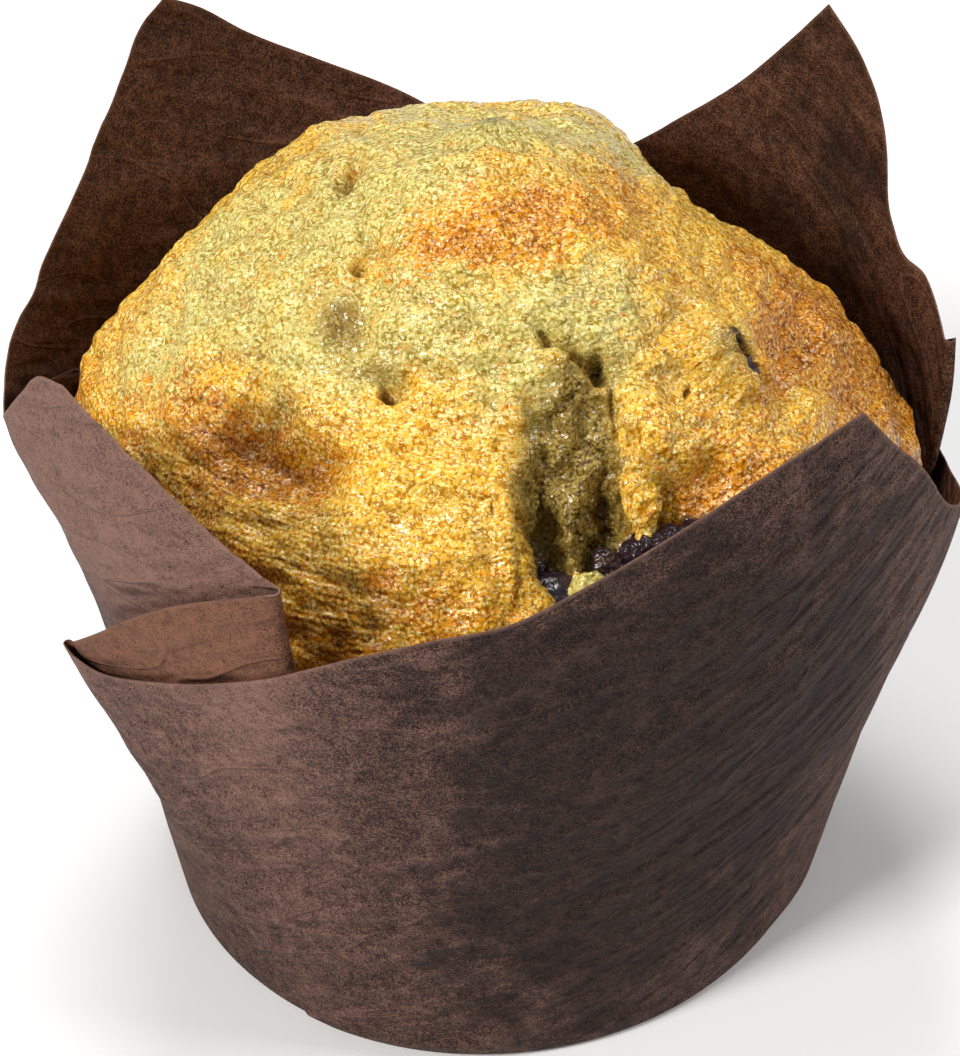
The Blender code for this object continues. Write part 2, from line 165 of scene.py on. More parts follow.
# How far and how widely the edges of the crown's forms wander, in millimetres.
RAGGED_BROAD = (0.5, 2.6)
RAGGED_FINE = (0.28, 0.9)

# Swells and hollows, seen from above: centre x and y, half length and half width, turn in degrees, height
# (below zero for a hollow) and how flat the top is (1 is a soft hill, 3 a steep plateau).
CROWN_FORMS = (
    ("middle lobe", 3.0, -7.0, 14.0, 9.5, 0.0, 1.5, 3.0),
    ("flat top", 0.0, 14.0, 9.0, 9.0, 0.0, -3.4, 1.0),
    ("left shoulder", -30.0, 3.0, 9.0, 9.0, 0.0, 1.4, 1.0),
    ("back left shoulder", -14.0, 24.0, 9.0, 9.0, 0.0, 1.0, 1.0),
    ("back shoulder", 4.0, 27.0, 9.0, 9.0, 0.0, 1.2, 1.0),
    ("top right shoulder", 10.0, 21.5, 3.6, 7.0, 0.0, 1.5, 1.0),
    ("back right hollow", 18.5, 17.5, 5.0, 8.0, -20.0, -3.0, 1.0),
    ("back left hollow", -31.0, 12.0, 5.0, 6.0, 0.0, -1.3, 1.0),
    ("back left notch", -23.0, 18.5, 3.0, 4.0, 0.0, -1.0, 1.0),
    ("right shoulder", 31.0, 2.0, 9.0, 10.0, 0.0, 1.4, 1.0),
    ("front left shelf", -13.0, -27.0, 15.0, 5.5, -24.0, 1.0, 1.5),
    ("front right lobe", 25.0, -13.0, 7.0, 9.0, 20.0, 1.0, 1.0),
    ("swell over the side berry", 19.5, -10.4, 3.2, 3.0, 0.0, 1.5, 1.5),
    ("crust above the lip", 15.6, -15.8, 3.4, 2.2, 30.0, 0.8, 1.2),
    ("left dent", -18.6, -14.9, 5.0, 2.4, -35.0, -2.8, 1.0),
    ("front left dent", -14.0, -19.2, 4.0, 1.8, -25.0, -2.2, 1.0),
    ("swell between the dents", -14.5, -15.6, 3.5, 1.6, -30.0, 1.0, 1.0),
    ("groove inside the left shelf", -24.4, 0.0, 9.0, 1.3, 78.0, -1.1, 1.0),
    ("ledge left of the middle lobe", -8.6, -9.0, 1.5, 6.0, -12.0, -1.3, 1.0),
    ("ledge under the middle lobe", -4.6, -15.8, 3.2, 0.9, -8.0, -0.9, 1.0),
    ("groove behind the middle lobe", 1.0, 4.0, 12.0, 1.8, -4.0, -1.1, 1.0),
    ("swell in front", -3.0, -25.0, 10.0, 3.0, 4.0, 1.0, 1.0),
    ("right groove", 24.4, -4.5, 1.7, 6.0, -18.0, -2.2, 1.0),
    ("groove under the lip", 17.2, -19.4, 4.0, 1.3, 34.0, -1.7, 1.0),
    ("pit", 7.0, -21.8, 4.2, 3.8, 0.0, -3.0, 1.5),
    ("top of the pit", 9.4, -17.6, 2.2, 3.0, -20.0, -1.3, 1.2),
    ("lump in the pit", 7.6, -20.6, 2.6, 2.8, 0.0, 1.1, 1.0),
    ("tongue", 13.2, -18.2, 1.8, 3.2, -10.0, 1.2, 1.5),
    ("hollow of the front berry", 12.8, -24.0, 4.9, 3.9, 0.0, -4.9, 2.5),
    ("gap between the berries", 8.4, -26.0, 2.2, 2.4, 0.0, -1.6, 1.0),
    ("crevice of the left berry", 5.1, -25.0, 1.7, 3.2, 23.0, -4.0, 2.0),
    ("torn skin over the side berry", 19.9, -10.1, 1.4, 1.2, 0.0, -1.1, 1.0),
    ("crack above the pit", 6.8, -13.9, 2.8, 1.0, -16.0, -1.3, 1.5),
    ("left pore", -7.1, -15.6, 1.8, 1.0, -15.0, -0.9, 1.0),
)
# Small holes, cracks and crumbs of the crust, which the solid leaves out, in the same terms.
CRUST_FORMS = (
    ("slit", -10.2, 3.9, 0.6, 2.3, -14.0, -2.0, 1.5),
    ("lip of the slit", -11.6, 4.0, 0.7, 2.4, -14.0, 0.5, 1.2),
    ("pore on the left", -9.0, -6.9, 0.7, 0.45, 0.0, -1.6, 1.5),
    ("hole of the left pore", -6.9, -15.8, 0.6, 0.42, -30.0, -1.7, 1.5),
    ("tail of the left pore", -8.6, -14.6, 1.8, 0.3, -24.0, -0.6, 1.2),
    ("hole below", -6.3, -20.5, 0.7, 0.35, -20.0, -1.0, 1.5),
    ("pore in front", 1.1, -20.4, 0.45, 0.45, 0.0, -0.8, 2.0),
    ("pore lower down", 1.1, -24.3, 0.4, 0.45, 0.0, -0.8, 2.0),
    ("pore by the crevice", 2.9, -23.9, 0.45, 0.4, 0.0, -0.8, 2.0),
    ("disc on the left", -18.8, -11.4, 1.0, 0.9, 0.0, 0.4, 3.0),
    ("skin over the side berry", 20.6, -10.2, 2.8, 2.6, 0.0, 1.2, 2.0),
    ("torn skin", 20.0, -9.7, 0.7, 0.5, -20.0, -1.6, 1.5),
    ("hole in the crack", 9.1, -14.6, 0.75, 0.5, -35.0, -1.9, 1.5),
    ("arm of the crack", 6.7, -13.8, 2.5, 0.3, -16.0, -1.1, 1.2),
    ("lip of the crack", 6.0, -14.9, 2.6, 0.5, -16.0, 0.4, 1.2),
    ("tail of the crack", 10.4, -16.6, 0.3, 1.6, 20.0, -0.7, 1.2),
    ("hole on the right", 16.2, -13.3, 0.3, 0.6, -30.0, -1.4, 1.5),
    ("small hole on the right", 14.8, -12.1, 0.3, 0.3, 0.0, -0.8, 1.5),
    ("hole by the tongue's root", 11.7, -18.0, 0.35, 0.6, -10.0, -1.3, 1.5),
    ("wrinkle by the side berry", 22.2, -10.8, 1.3, 0.5, 10.0, -0.8, 1.5),
    ("top pore", 2.6, 5.4, 1.4, 0.6, 10.0, -0.7, 1.5),
    ("left front hollow", -16.8, -14.2, 2.2, 0.9, -20.0, -0.7, 1.2),
    ("ledge of the left lobe", -8.4, -6.0, 0.7, 5.0, 14.0, -0.6, 1.2),
    ("front fold", -6.0, -25.0, 7.0, 0.6, 8.0, -0.3, 1.2),
    ("front left fold", -15.5, -23.4, 5.0, 0.6, -28.0, -0.3, 1.2),
    ("lip left of the pit", 2.9, -19.4, 0.8, 2.4, 12.0, 0.7, 1.2),
    ("torn edge left of the crevice", 1.6, -25.4, 0.9, 2.6, 8.0, 0.7, 1.2),
    ("fold in the pit", 9.7, -20.2, 0.5, 2.8, -8.0, -0.9, 1.2),
    ("lip above the pit", 6.2, -15.4, 2.6, 0.7, -24.0, 0.5, 1.2),
)

# Where the crust takes a second colour, seen from above: centre, half length and half width, turn, strength.
PALE_PLACES = (
    ("upper left", -14.0, 2.0, 14.0, 13.0, 20.0, 1.0),
    ("top", -1.0, 9.0, 15.0, 9.0, 0.0, 0.8),
    ("centre right", 10.0, -10.5, 7.0, 6.0, 0.0, 0.7),
    ("middle front", 0.0, -14.0, 9.0, 5.0, 0.0, 0.7),
    ("left shelf", -24.0, 0.0, 6.0, 7.0, 0.0, 0.6),
    ("left front", -12.0, -12.0, 8.0, 5.0, -10.0, 0.7),
    ("back", 4.0, 22.0, 20.0, 10.0, 0.0, 0.6),
)
TOAST_AND_SHADE_PLACES = (
    ("middle lobe", 5.0, -4.6, 9.0, 3.4, 14.0, 1.0),
    ("left of the middle lobe", -2.0, -7.6, 5.0, 2.2, 0.0, 0.8),
    ("top right spot", 12.0, 4.0, 2.5, 5.0, 10.0, 0.8),
    ("right flank", 28.5, 2.5, 6.5, 9.0, 0.0, 1.3),
    ("right rim", 36.0, 1.0, 5.0, 16.0, 0.0, 1.4),
    ("lower right", 23.0, -16.0, 9.0, 4.0, 35.0, 0.7),
    # In the grooves and under the lip the toast is partly painted shade.
    ("right groove", 24.4, -4.5, 1.8, 6.5, -18.0, 1.3),
    ("under the lip", 17.2, -19.6, 4.4, 1.4, 34.0, 1.4),
    ("left edge", -34.0, 4.0, 4.0, 16.0, 0.0, 0.6),
    ("left shoulder", -25.0, -8.5, 4.5, 3.0, -30.0, 0.7),
    ("front", -4.0, -30.0, 18.0, 3.0, -4.0, 0.6),
    # In the dents the toast is partly painted shade.
    ("left dent", -19.0, -15.2, 5.0, 2.6, -35.0, 1.6),
    ("front left dent", -14.2, -18.8, 4.2, 1.8, -25.0, 1.4),
    ("lower left", -21.0, -21.0, 9.0, 4.0, -42.0, 0.6),
    ("back edge", 2.0, 36.0, 26.0, 5.0, 0.0, 0.8),
)
CRUMB_PLACES = (
    ("pit", 6.9, -22.0, 4.9, 4.4, 0.0, 1.3),
    ("top of the pit", 7.9, -17.2, 3.2, 3.0, -16.0, 0.7),
    ("between the berries", 8.6, -26.6, 2.6, 2.4, 0.0, 1.2),
    ("left patch", -10.6, -11.0, 2.6, 2.4, 0.0, 0.6),
    ("olive hollow", -12.0, -7.0, 3.5, 4.5, 10.0, 0.35),
    ("second patch", -7.6, -14.9, 2.4, 1.2, -20.0, 0.6),
    ("over the side berry", 19.6, -10.8, 3.3, 3.0, 0.0, 0.75),
    ("right of the middle", 15.0, -8.0, 2.2, 2.0, 0.0, 0.4),
    ("left dent", -19.5, -14.6, 2.0, 1.0, -35.0, 0.4),
    ("beside the small hole", 14.4, -12.4, 1.6, 1.0, 0.0, 0.45),
    ("along the crack", 7.6, -14.0, 2.6, 0.6, -16.0, 0.7),
    ("upper left slit", -9.6, 4.2, 1.6, 2.6, -14.0, 0.6),
)
STAIN_AND_SHADOW_PLACES = (
    ("front berry's hollow", 13.0, -23.6, 4.8, 3.6, 0.0, 1.4),
    ("left berry's crevice", 5.2, -25.4, 1.2, 2.9, 23.0, 1.3),
    ("side berry's skin", 20.1, -9.7, 1.0, 0.7, -20.0, 0.8),
    ("berry bit", -22.1, -10.5, 0.5, 0.4, 0.0, 0.7),
    # Painted shadow under the lip, right of the tongue, in the berry stain's colour.
    ("painted shadow right of the tongue", 16.0, -20.9, 1.5, 1.0, 30.0, 1.0),
)

# Where fat soaks and darkens the paper, partly with painted shade, and where painted light makes it lighter
# (below zero): azimuth and height, half width and half height, turn, strength.
GREASE_SHADE_AND_LIGHT_PLACES = (
    # Partly soaked with fat and partly painted shade: the front centre, the right, the inside of the back
    # right petal and the pocket.
    ("front centre", 284.0, 48.0, 26.0, 18.0, 0.0, 1.1),
    ("front centre, low", 286.0, 20.0, 26.0, 18.0, 0.0, 0.9),
    ("right", 318.0, 34.0, 14.0, 26.0, 0.0, 0.6),
    ("inside of the back right petal", 38.0, 56.0, 16.0, 12.0, 0.0, 0.5),
    ("pocket", 228.0, 44.0, 10.0, 6.0, 0.0, 0.4),
    # Painted light: lighter where the light falls on the front left petal and the front left.
    ("front left petal", 226.0, 60.0, 22.0, 20.0, 0.0, -1.6),
    ("front left", 246.0, 32.0, 14.0, 34.0, 0.0, -0.45),
)

# Crown grid: faces a side, and how much and how widely they gather round the pit.
CROWN_GRID = 286
CROWN_FOCUS = (0.11, -0.36)
CROWN_GATHER = 0.42
CROWN_GATHER_WIDTH = 0.42
CROWN_RIM_SHARE = 0.3
RELIEF_RIM_SHARE = 0.06
BODY_ROWS = 6
BODY_EDGE_TURNS = (45.0, 90.0)

# The crust's skin: the width of each kind of ridge, how high it stands in millimetres, and how much the
# dip beside it counts as a fold, darkened by painted shade. Folds and wrinkles are drawn out along rings
# round the crown.
PILLOWS = (7.5, 1.0, 0.8)
SMALL_PILLOWS = (3.2, 0.7, 0.8)
FOLDS = (2.6, 0.7, 0.9)
WRINKLES = (1.2, 0.2, 0.3)
GRAINS = (0.7, 0.1, 0.2)
BLISTERS = (1.2, 0.18)
TORN_CRUMB = (1.5, 0.7)
RIDGE_MEAN = 0.25
# Hollows among the crown's forms count as folds too and take painted shade, swells take less.
FORMS_AS_FOLDS = 0.3
RING_SIZE = 11.0
RING_SLOPE = 0.5
RINGS_START = 5.0
RINGS_GROW_OVER = 8.0
CALM_BACK_START = 6.0
CALM_BACK_GROWS_OVER = 12.0
CALM_BACK_SHARE = 0.45
CALM_CRUMB_SHARE = 0.5

# Below this height, over this drop, the crust is less pale and more toasted.
LOW_CRUST_HEIGHT = 56.0
LOW_CRUST_DROP = 12.0
LOW_LESS_PALE = 0.5
LOW_MORE_TOAST = 0.5
MOST_TOAST = 1.3

# Lumps in and over the pit, in millimetres and degrees: centre, half sizes, turns, roughness, seed and faces
# round, and how much of each of the crust's colours they take. The tongue of crust comes first.
LUMPS = {
    "crust_tongue": {
        "shape": ((12.1, -19.5, 55.2), (1.5, 4.3, 1.0), (52.0, 0.0, 12.0), 0.35, 3.0, 72),
        "colours": {"pale": 0.05, "toast": 0.3, "crumb": 0.0, "stain_and_shadow": 0.0},
    },
    "crumb_by_the_berry": {
        "shape": ((9.6, -23.0, 50.2), (1.4, 1.3, 1.1), (20.0, 10.0, 30.0), 0.2, 5.0, 48),
        "colours": {"pale": 0.0, "toast": 0.0, "crumb": 0.7, "stain_and_shadow": 0.75},
    },
    "berry_pulp": {
        "shape": ((13.6, -22.2, 51.0), (3.0, 1.7, 1.3), (25.0, 0.0, 20.0), 0.45, 11.0, 72),
        "colours": {"pale": 0.0, "toast": 0.0, "crumb": 0.3, "stain_and_shadow": 1.0},
    },
    "crumb_by_the_paper": {
        "shape": ((7.9, -26.2, 50.6), (1.5, 1.4, 1.2), (20.0, 0.0, -20.0), 0.2, 8.0, 48),
        "colours": {"pale": 0.9, "toast": 0.0, "crumb": 0.3, "stain_and_shadow": 0.0},
    },
}
LUMP_SWELL = (0.22, 1.3)
LUMP_GRAIN = 0.8

# Berries, as in the CAD model: centre, radius and flattening.
BERRIES = {
    "berry_front": ((13.4, -24.4, 47.4), 4.6, 0.9),
    "berry_left": ((5.1, -25.3, 48.3), 2.8, 0.92),
    "berry_side": ((19.6, -10.3, 58.4), 2.7, 0.9),
}
BERRY_FACES = (96, 64)

# How much a berry's skin departs from round, as a share of its radius, and how many times each form repeats.
BERRY_SHRINK = 0.03
BERRY_SWELL = (0.06, 1.2)
BERRY_WRINKLES = (0.07, 2.6)
BERRY_FINE_WRINKLES = (0.035, 6.0)
WRINKLE_MEAN = 0.3

# Colours of the crust: between its blisters and on them, the painted shade of its folds, its painted glints,
# and the berries' stain, which in one place also gives a painted shadow.
GOLD = ((0.44, 0.175, 0.003), (0.84, 0.495, 0.045))
PALE = ((0.33, 0.23, 0.018), (0.63, 0.54, 0.17))
TOAST = ((0.33, 0.08, 0.0), (0.8, 0.33, 0.012))
BROWN = ((0.15, 0.037, 0.0), (0.55, 0.19, 0.01))
CRUMB = ((0.085, 0.044, 0.004), (0.34, 0.23, 0.045))
FOLD_SHADE = (0.45, 0.23, 0.05)
DEEP_FOLD_SHADE = (0.07, 0.032, 0.006)
PAINTED_GLINT = (1.0, 0.9, 0.42)
STAIN_AND_SHADOW = (0.022, 0.011, 0.015)

# Colours of the paper: dark and light fibres and the painted sheen of its cut edge, outside and inside, and
# the dark of its fat-soaked places and painted shade.
PAPER_OUTSIDE = ((0.018, 0.009, 0.007), (0.2, 0.108, 0.084), (0.26, 0.145, 0.11))
PAPER_INSIDE = ((0.022, 0.009, 0.005), (0.18, 0.08, 0.048), (0.2, 0.1, 0.06))
GREASE_AND_SHADE = (0.004, 0.003, 0.003)
BERRY_SKIN = ((0.012, 0.006, 0.014), (0.07, 0.025, 0.045))

# Soft square lights: azimuth, elevation, side in metres, watts and colour.
LIGHTS = {
    "key": (222.0, 36.0, 0.2, 6.1, (1.0, 0.98, 0.95)),
    "right": (345.0, 32.0, 0.2, 2.5, (1.0, 0.98, 0.96)),
    "top": (100.0, 68.0, 0.26, 3.6, (1.0, 1.0, 1.0)),
}
LIGHT_DISTANCE = 0.8
LIGHT_AIM_HEIGHT = 0.04
SKY_STRENGTH = 0.23
FLOOR_SIZE = 6.0
FLOOR_WHITE = (0.9, 0.9, 0.9)
FLOOR_ROUGHNESS = 0.9


def smooth_step(x):
    """0 below 0, 1 above 1, and smooth between."""
    x = np.clip(x, 0.0, 1.0)
    return x * x * (3.0 - 2.0 * x)


def smooth_curve(x, xs, ys):
    """The smooth curve through the points (xs, ys), which runs on level past its ends."""
    xs = np.asarray(xs, float)
    ys = np.asarray(ys, float)
    if xs[0] > xs[-1]:
        xs = xs[::-1]
        ys = ys[::-1]
    slopes = np.gradient(ys, xs)
    x = np.clip(x, xs[0], xs[-1])
    k = np.clip(np.searchsorted(xs, x) - 1, 0, len(xs) - 2)
    width = xs[k + 1] - xs[k]
    t = (x - xs[k]) / width
    bend_in = t * (1.0 - t) ** 2 * width * slopes[k]
    bend_out = t * t * (t - 1.0) * width * slopes[k + 1]
    return ys[k] + (ys[k + 1] - ys[k]) * smooth_step(t) + bend_in + bend_out


def blobs(places, x, y):
    """Sum of soft blobs at places seen from above, as flat on top as a place's last number says, if any."""
    total = np.zeros_like(x)
    for _name, cx, cy, length, width, turn, strength, *flatness in places:
        power = flatness[0] if flatness else 1.0
        angle = math.radians(turn)
        along = ((x - cx) * math.cos(angle) + (y - cy) * math.sin(angle)) / length
        across = ((y - cy) * math.cos(angle) - (x - cx) * math.sin(angle)) / width
        total += strength * np.exp(-((along * along + across * across) ** power))
    return total


def ragged(x, y):
    """Shifts places a little, so that forms placed there get ragged edges."""
    broad, broad_size = RAGGED_BROAD
    fine, fine_size = RAGGED_FINE
    flat = np.stack([x, y, np.zeros_like(x)], -1)
    east, north = (
        broad * noise_at(flat + away, broad_size, 2) + fine * noise_at(flat + away, fine_size)
        for away in (0.0, 30.0)
    )
    return x + east, y + north


def noise_at(points, size, octaves=1):
    """Fractal noise, about -1 to 1, at each of the points."""
    scaled = np.asarray(points) / size
    if octaves == 1:
        return np.array([noise.noise(Vector(point)) for point in scaled])
    fall_off, step = 1.0, 2.0
    return np.array([noise.fractal(Vector(point), fall_off, step, octaves) for point in scaled])


# Objects and meshes

def start_piece(name, add, **settings):
    """Adds a primitive by its operator, with nothing else selected, and names it."""
    if bpy.context.object and bpy.context.object.mode != "OBJECT":
        bpy.ops.object.mode_set(mode="OBJECT")
    bpy.ops.object.select_all(action="DESELECT")
    add(**settings)
    piece = bpy.context.object
    piece.name = name
    piece.data.name = name
    return piece


def read_points(piece):
    """A piece's vertices, one row each."""
    places = np.empty(3 * len(piece.data.vertices))
    piece.data.vertices.foreach_get("co", places)
    return places.reshape(-1, 3)


def write_points(piece, places):
    piece.data.vertices.foreach_set("co", np.ascontiguousarray(places, dtype=np.float32).ravel())
    piece.data.update()


def read_normals(piece):
    normals = np.empty(3 * len(piece.data.vertices))
    piece.data.vertex_normals.foreach_get("vector", normals)
    return normals.reshape(-1, 3)


def paint(piece, name, values):
    """Stores one number for each vertex, which the finish reads."""
    layer = piece.data.attributes.new(name, "FLOAT", "POINT")
    layer.data.foreach_set("value", np.ascontiguousarray(values, dtype=np.float32))


def paint_places(piece, name, places):
    """Stores one place for each vertex, in millimetres, which the finish reads."""
    layer = piece.data.attributes.new(name, "FLOAT_VECTOR", "POINT")
    layer.data.foreach_set("vector", np.ascontiguousarray(places, dtype=np.float32).ravel())


def finish_piece(piece, material, slot, *nodes):
    """Gives a piece its finish, attaches it to the body and hides the CAD nodes that it stands for; slot is
    not used.
    """
    if material is not None:
        piece.data.materials.clear()
        piece.data.materials.append(material)
    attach(piece, BODY)
    if nodes:
        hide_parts(*nodes)


# Paper case

def wall_radius(z):
    """Radius of the cup's wall at height z, with the small round at its base."""
    across = np.clip(1.0 - np.asarray(z, float) / BASE_EDGE_RADIUS, 0.0, 1.0)
    edge = BASE_EDGE_RADIUS * (1.0 - np.sqrt(1.0 - across * across))
    return smooth_curve(z, WALL_HEIGHTS, WALL_RADII) - edge


def wall_shift(z):
    return smooth_curve(z, WALL_HEIGHTS, WALL_SHIFTS)


def wall_point(azimuth, z, out):
    """Points on the cup's wall, moved outwards by a distance."""
    radius = wall_radius(z) + out
    x = wall_shift(z) + radius * np.cos(azimuth)
    y = radius * np.sin(azimuth)
    return np.stack([x, y, z + 0.0 * azimuth], -1)


def turn_radius(z):
    """Radius of the paper's turns: the layers lie tight at the base and open towards the rim."""
    share = smooth_step(z / WALL_HEIGHTS[2])
    return TURN_RADIUS_BASE + (TURN_RADIUS_RIM - TURN_RADIUS_BASE) * share


def fold_azimuth(pleat, turn, z):
    """Azimuth in radians of a pleat's turn: both turns start at the base and lean apart as they rise."""
    azimuth, height = pleat["rims"][turn][-1]
    lean = (azimuth - pleat["base_azimuth"]) * np.clip(z / height, 0.0, 1.0)
    return np.radians(pleat["base_azimuth"] + lean)


def paper_place(pleat, stretch, part, z):
    """Azimuth and distance out of the wall for the paper at height z.

    stretch is 0 to 4: first layer, forward turn, middle layer, backward turn, last layer, and part is how
    far along the stretch the paper is.
    """
    side = -1.0 if pleat["outer_stretch_first"] else 1.0
    radius = smooth_curve(z, WALL_HEIGHTS, WALL_RADII)
    start = math.radians(pleat["rims"][0][0][0]) * radius
    end = math.radians(pleat["rims"][2][-1][0]) * radius
    forward = fold_azimuth(pleat, 0, z) * radius
    backward = fold_azimuth(pleat, 1, z) * radius
    back_length = forward - backward
    fold = math.pi * smooth_step(z / FOLD_START_HEIGHT)
    bend = turn_radius(z)
    turn_rise = bend * (1.0 - np.cos(fold))
    rise = 2.0 * turn_rise + back_length * np.sin(fold)
    if pleat["outer_stretch_first"]:
        past_pleat = (backward - start) * FIRST_LAYER_SETTLES
        first_out = rise * smooth_step(part * (forward - start) / past_pleat)
        last_out = 0.0 * part
        fold_out = rise
    else:
        past_pleat = (forward - backward) * LAST_LAYER_LEAVES
        first_out = 0.0 * part
        run = end - backward
        last_out = rise * (1.0 - smooth_step((part * run - past_pleat) / (run - past_pleat)))
        fold_out = 0.0 * rise
    back_start = forward + bend * np.sin(fold)
    back_end = back_start + back_length * np.cos(fold)
    if stretch == 0:
        along = start + (forward - start) * part
        out = first_out
    elif stretch == 1:
        along = forward + bend * np.sin(fold * part)
        out = fold_out + side * bend * (1.0 - np.cos(fold * part))
    elif stretch == 2:
        along = back_start + back_length * part * np.cos(fold)
        out = fold_out + side * (turn_rise + back_length * part * np.sin(fold))
    elif stretch == 3:
        angle = fold * (1.0 - part)
        along = back_end + bend * (np.sin(fold) - np.sin(angle))
        out = fold_out + side * (turn_rise + back_length * np.sin(fold))
        out = out + side * bend * (np.cos(angle) - np.cos(fold))
    else:
        last_start = back_end + bend * np.sin(fold)
        along = last_start + (end - last_start) * part
        out = last_out
    return along / radius, out + pocket_flare(pleat, stretch, along / radius, z)


def pocket_flare(pleat, stretch, azimuth, z):
    """How far the two outer layers of a pleat stand off round its outer fold, most at the rim."""
    outer_turn = 0 if pleat["outer_stretch_first"] else 1
    is_outer = stretch <= 2 if pleat["outer_stretch_first"] else stretch >= 2
    if not is_outer:
        return 0.0 * azimuth
    height = pleat["rims"][outer_turn][-1][1]
    reach = np.degrees(azimuth - fold_azimuth(pleat, outer_turn, z)) / POCKET_FLARE_WIDTH
    growth = np.clip(z / height, 0.0, POCKET_FLARE_LIMIT) ** POCKET_FLARE_POWER
    return pleat["pocket_flare"] * growth * np.exp(-reach * reach)


def rim_height(pleat, stretch, part):
    """Height of the paper's rim on each column, where the column's own azimuth meets the rim's outline."""
    rims = pleat["rims"]
    if stretch in (1, 3):
        return np.full(part.shape, rims[stretch // 2][-1][1], float)
    outline = rims[stretch // 2]
    azimuths = [point[0] for point in outline]
    heights = [point[1] for point in outline]
    z = np.full(part.shape, RIM_FIRST_HEIGHT)
    for _step in range(RIM_STEPS):
        azimuth, _out = paper_place(pleat, stretch, part, z)
        z = 0.5 * z + 0.5 * smooth_curve(np.degrees(azimuth), azimuths, heights)
    return z


def slanted_places(azimuth, z, slope, height_share):
    """Places round the case in millimetres, on which noise is drawn out along lines of this slope."""
    radius = smooth_curve(z, WALL_HEIGHTS, WALL_RADII)
    slant = azimuth - z / (radius * slope)
    return np.stack([radius * np.cos(slant), radius * np.sin(slant), z * height_share], -1)


def paper_waves(azimuth, z):
    """How far the paper stands out in soft waves and slanted creases, the same for all its layers."""
    free = smooth_step((z - WAVES_START_HEIGHT) / WAVES_GROW_OVER)
    slanted = slanted_places(azimuth, z, FOLD_SLOPE, FOLD_HEIGHT_SHARE)
    broad = BROAD_WAVE[0] * noise_at(slanted_places(azimuth, z, UPRIGHT_SLOPE, 1.0), BROAD_WAVE[1])
    folds = SLANTED_FOLD[0] * noise_at(slanted, SLANTED_FOLD[1])
    ridges = 1.0 - CREASE_SHARPNESS * np.abs(noise_at(slanted + 40.0, SLANTED_CREASE[1]))
    return free * (broad + folds + SLANTED_CREASE[0] * np.clip(ridges, 0.0, 1.0))


def paper_grid():
    """Points of the folded sheet in millimetres, columns round the case and rows from base to rim."""
    low_rows = np.array([0.0, BASE_EDGE_ROW * BASE_EDGE_RADIUS, BASE_EDGE_RADIUS, FOLD_START_HEIGHT])
    counts = (STRETCH_COLUMNS, TURN_COLUMNS, MIDDLE_COLUMNS, TURN_COLUMNS, STRETCH_COLUMNS)
    columns = []
    for pleat in PLEATS:
        for stretch, count in enumerate(counts):
            part = np.arange(count) / count
            rim = rim_height(pleat, stretch, part)
            for one_part, one_rim in zip(part, rim):
                z = np.concatenate([low_rows, np.linspace(FOLD_START_HEIGHT, one_rim, WALL_ROWS + 1)[1:]])
                azimuth, out = paper_place(pleat, stretch, one_part, z)
                columns.append(wall_point(azimuth, z, out + paper_waves(azimuth, z)))
    grid = np.array(columns)
    seam = HIDDEN_SEAM_PLEAT * sum(counts) + STRETCH_COLUMNS + TURN_COLUMNS + MIDDLE_COLUMNS // 2
    return np.roll(grid, -seam, axis=0)


def make_paper_case(outside, inside):
    """The folded sheet: a flat grid laid out on its folds, closed at its base and given its thickness."""
    grid = paper_grid()
    columns, rows = grid.shape[:2]
    sheet = start_piece(
        "paper_sheet", bpy.ops.mesh.primitive_grid_add,
        x_subdivisions=columns, y_subdivisions=rows - 1, size=1.0,
    )
    flat = read_points(sheet)
    column = np.rint((flat[:, 0] + 0.5) * columns).astype(int)
    row = np.rint((flat[:, 1] + 0.5) * (rows - 1)).astype(int)
    closed = np.concatenate([grid, grid[:1]])
    places = closed[column, row]
    write_points(sheet, places * MM)
    paint_paper(sheet, places, closed[:, -1])
    bpy.ops.object.mode_set(mode="EDIT")
    bpy.ops.mesh.select_all(action="SELECT")
    bpy.ops.mesh.remove_doubles(threshold=WELD_DISTANCE * MM)
    bpy.ops.mesh.dissolve_degenerate(threshold=WELD_DISTANCE * MM)
    bpy.ops.object.mode_set(mode="OBJECT")
    fill_base(sheet)
    sheet.data.materials.append(outside)
    sheet.data.materials.append(inside)
    wall = sheet.modifiers.new("Thickness", "SOLIDIFY")
    wall.thickness = PAPER_THICKNESS * MM
    wall.offset = -1.0
    wall.material_offset = 1
    wall.material_offset_rim = 0
    bpy.ops.object.modifier_apply(modifier=wall.name)
    bpy.ops.object.shade_smooth_by_angle(angle=math.radians(SMOOTH_ANGLE))
    finish_piece(sheet, None, "paper", "paper_case")


def paint_paper(sheet, places, rim):
    """Paints how far the paper is from its cut edge, where it is soaked with fat and in painted shade, where
    it takes painted light, and its slanted places.
    """
    azimuth = np.arctan2(places[:, 1], places[:, 0]) % (2.0 * math.pi)
    paint(sheet, "edge", edge_distance(places, rim))
    paint(sheet, "grease_shade_and_light", np.clip(blobs(GREASE_SHADE_AND_LIGHT_PLACES, np.degrees(azimuth), places[:, 2]), -1.0, 1.0))
    paint_places(sheet, "slant", slanted_places(azimuth, places[:, 2], PUCKER_SLOPE, 1.0))


def edge_distance(places, rim):
    """Distance of each place from the nearest point of the paper's rim, in millimetres."""
    tree = kdtree.KDTree(len(rim))
    for index, point in enumerate(rim):
        tree.insert(point, index)
    tree.balance()
    return np.array([tree.find(place)[2] for place in places])


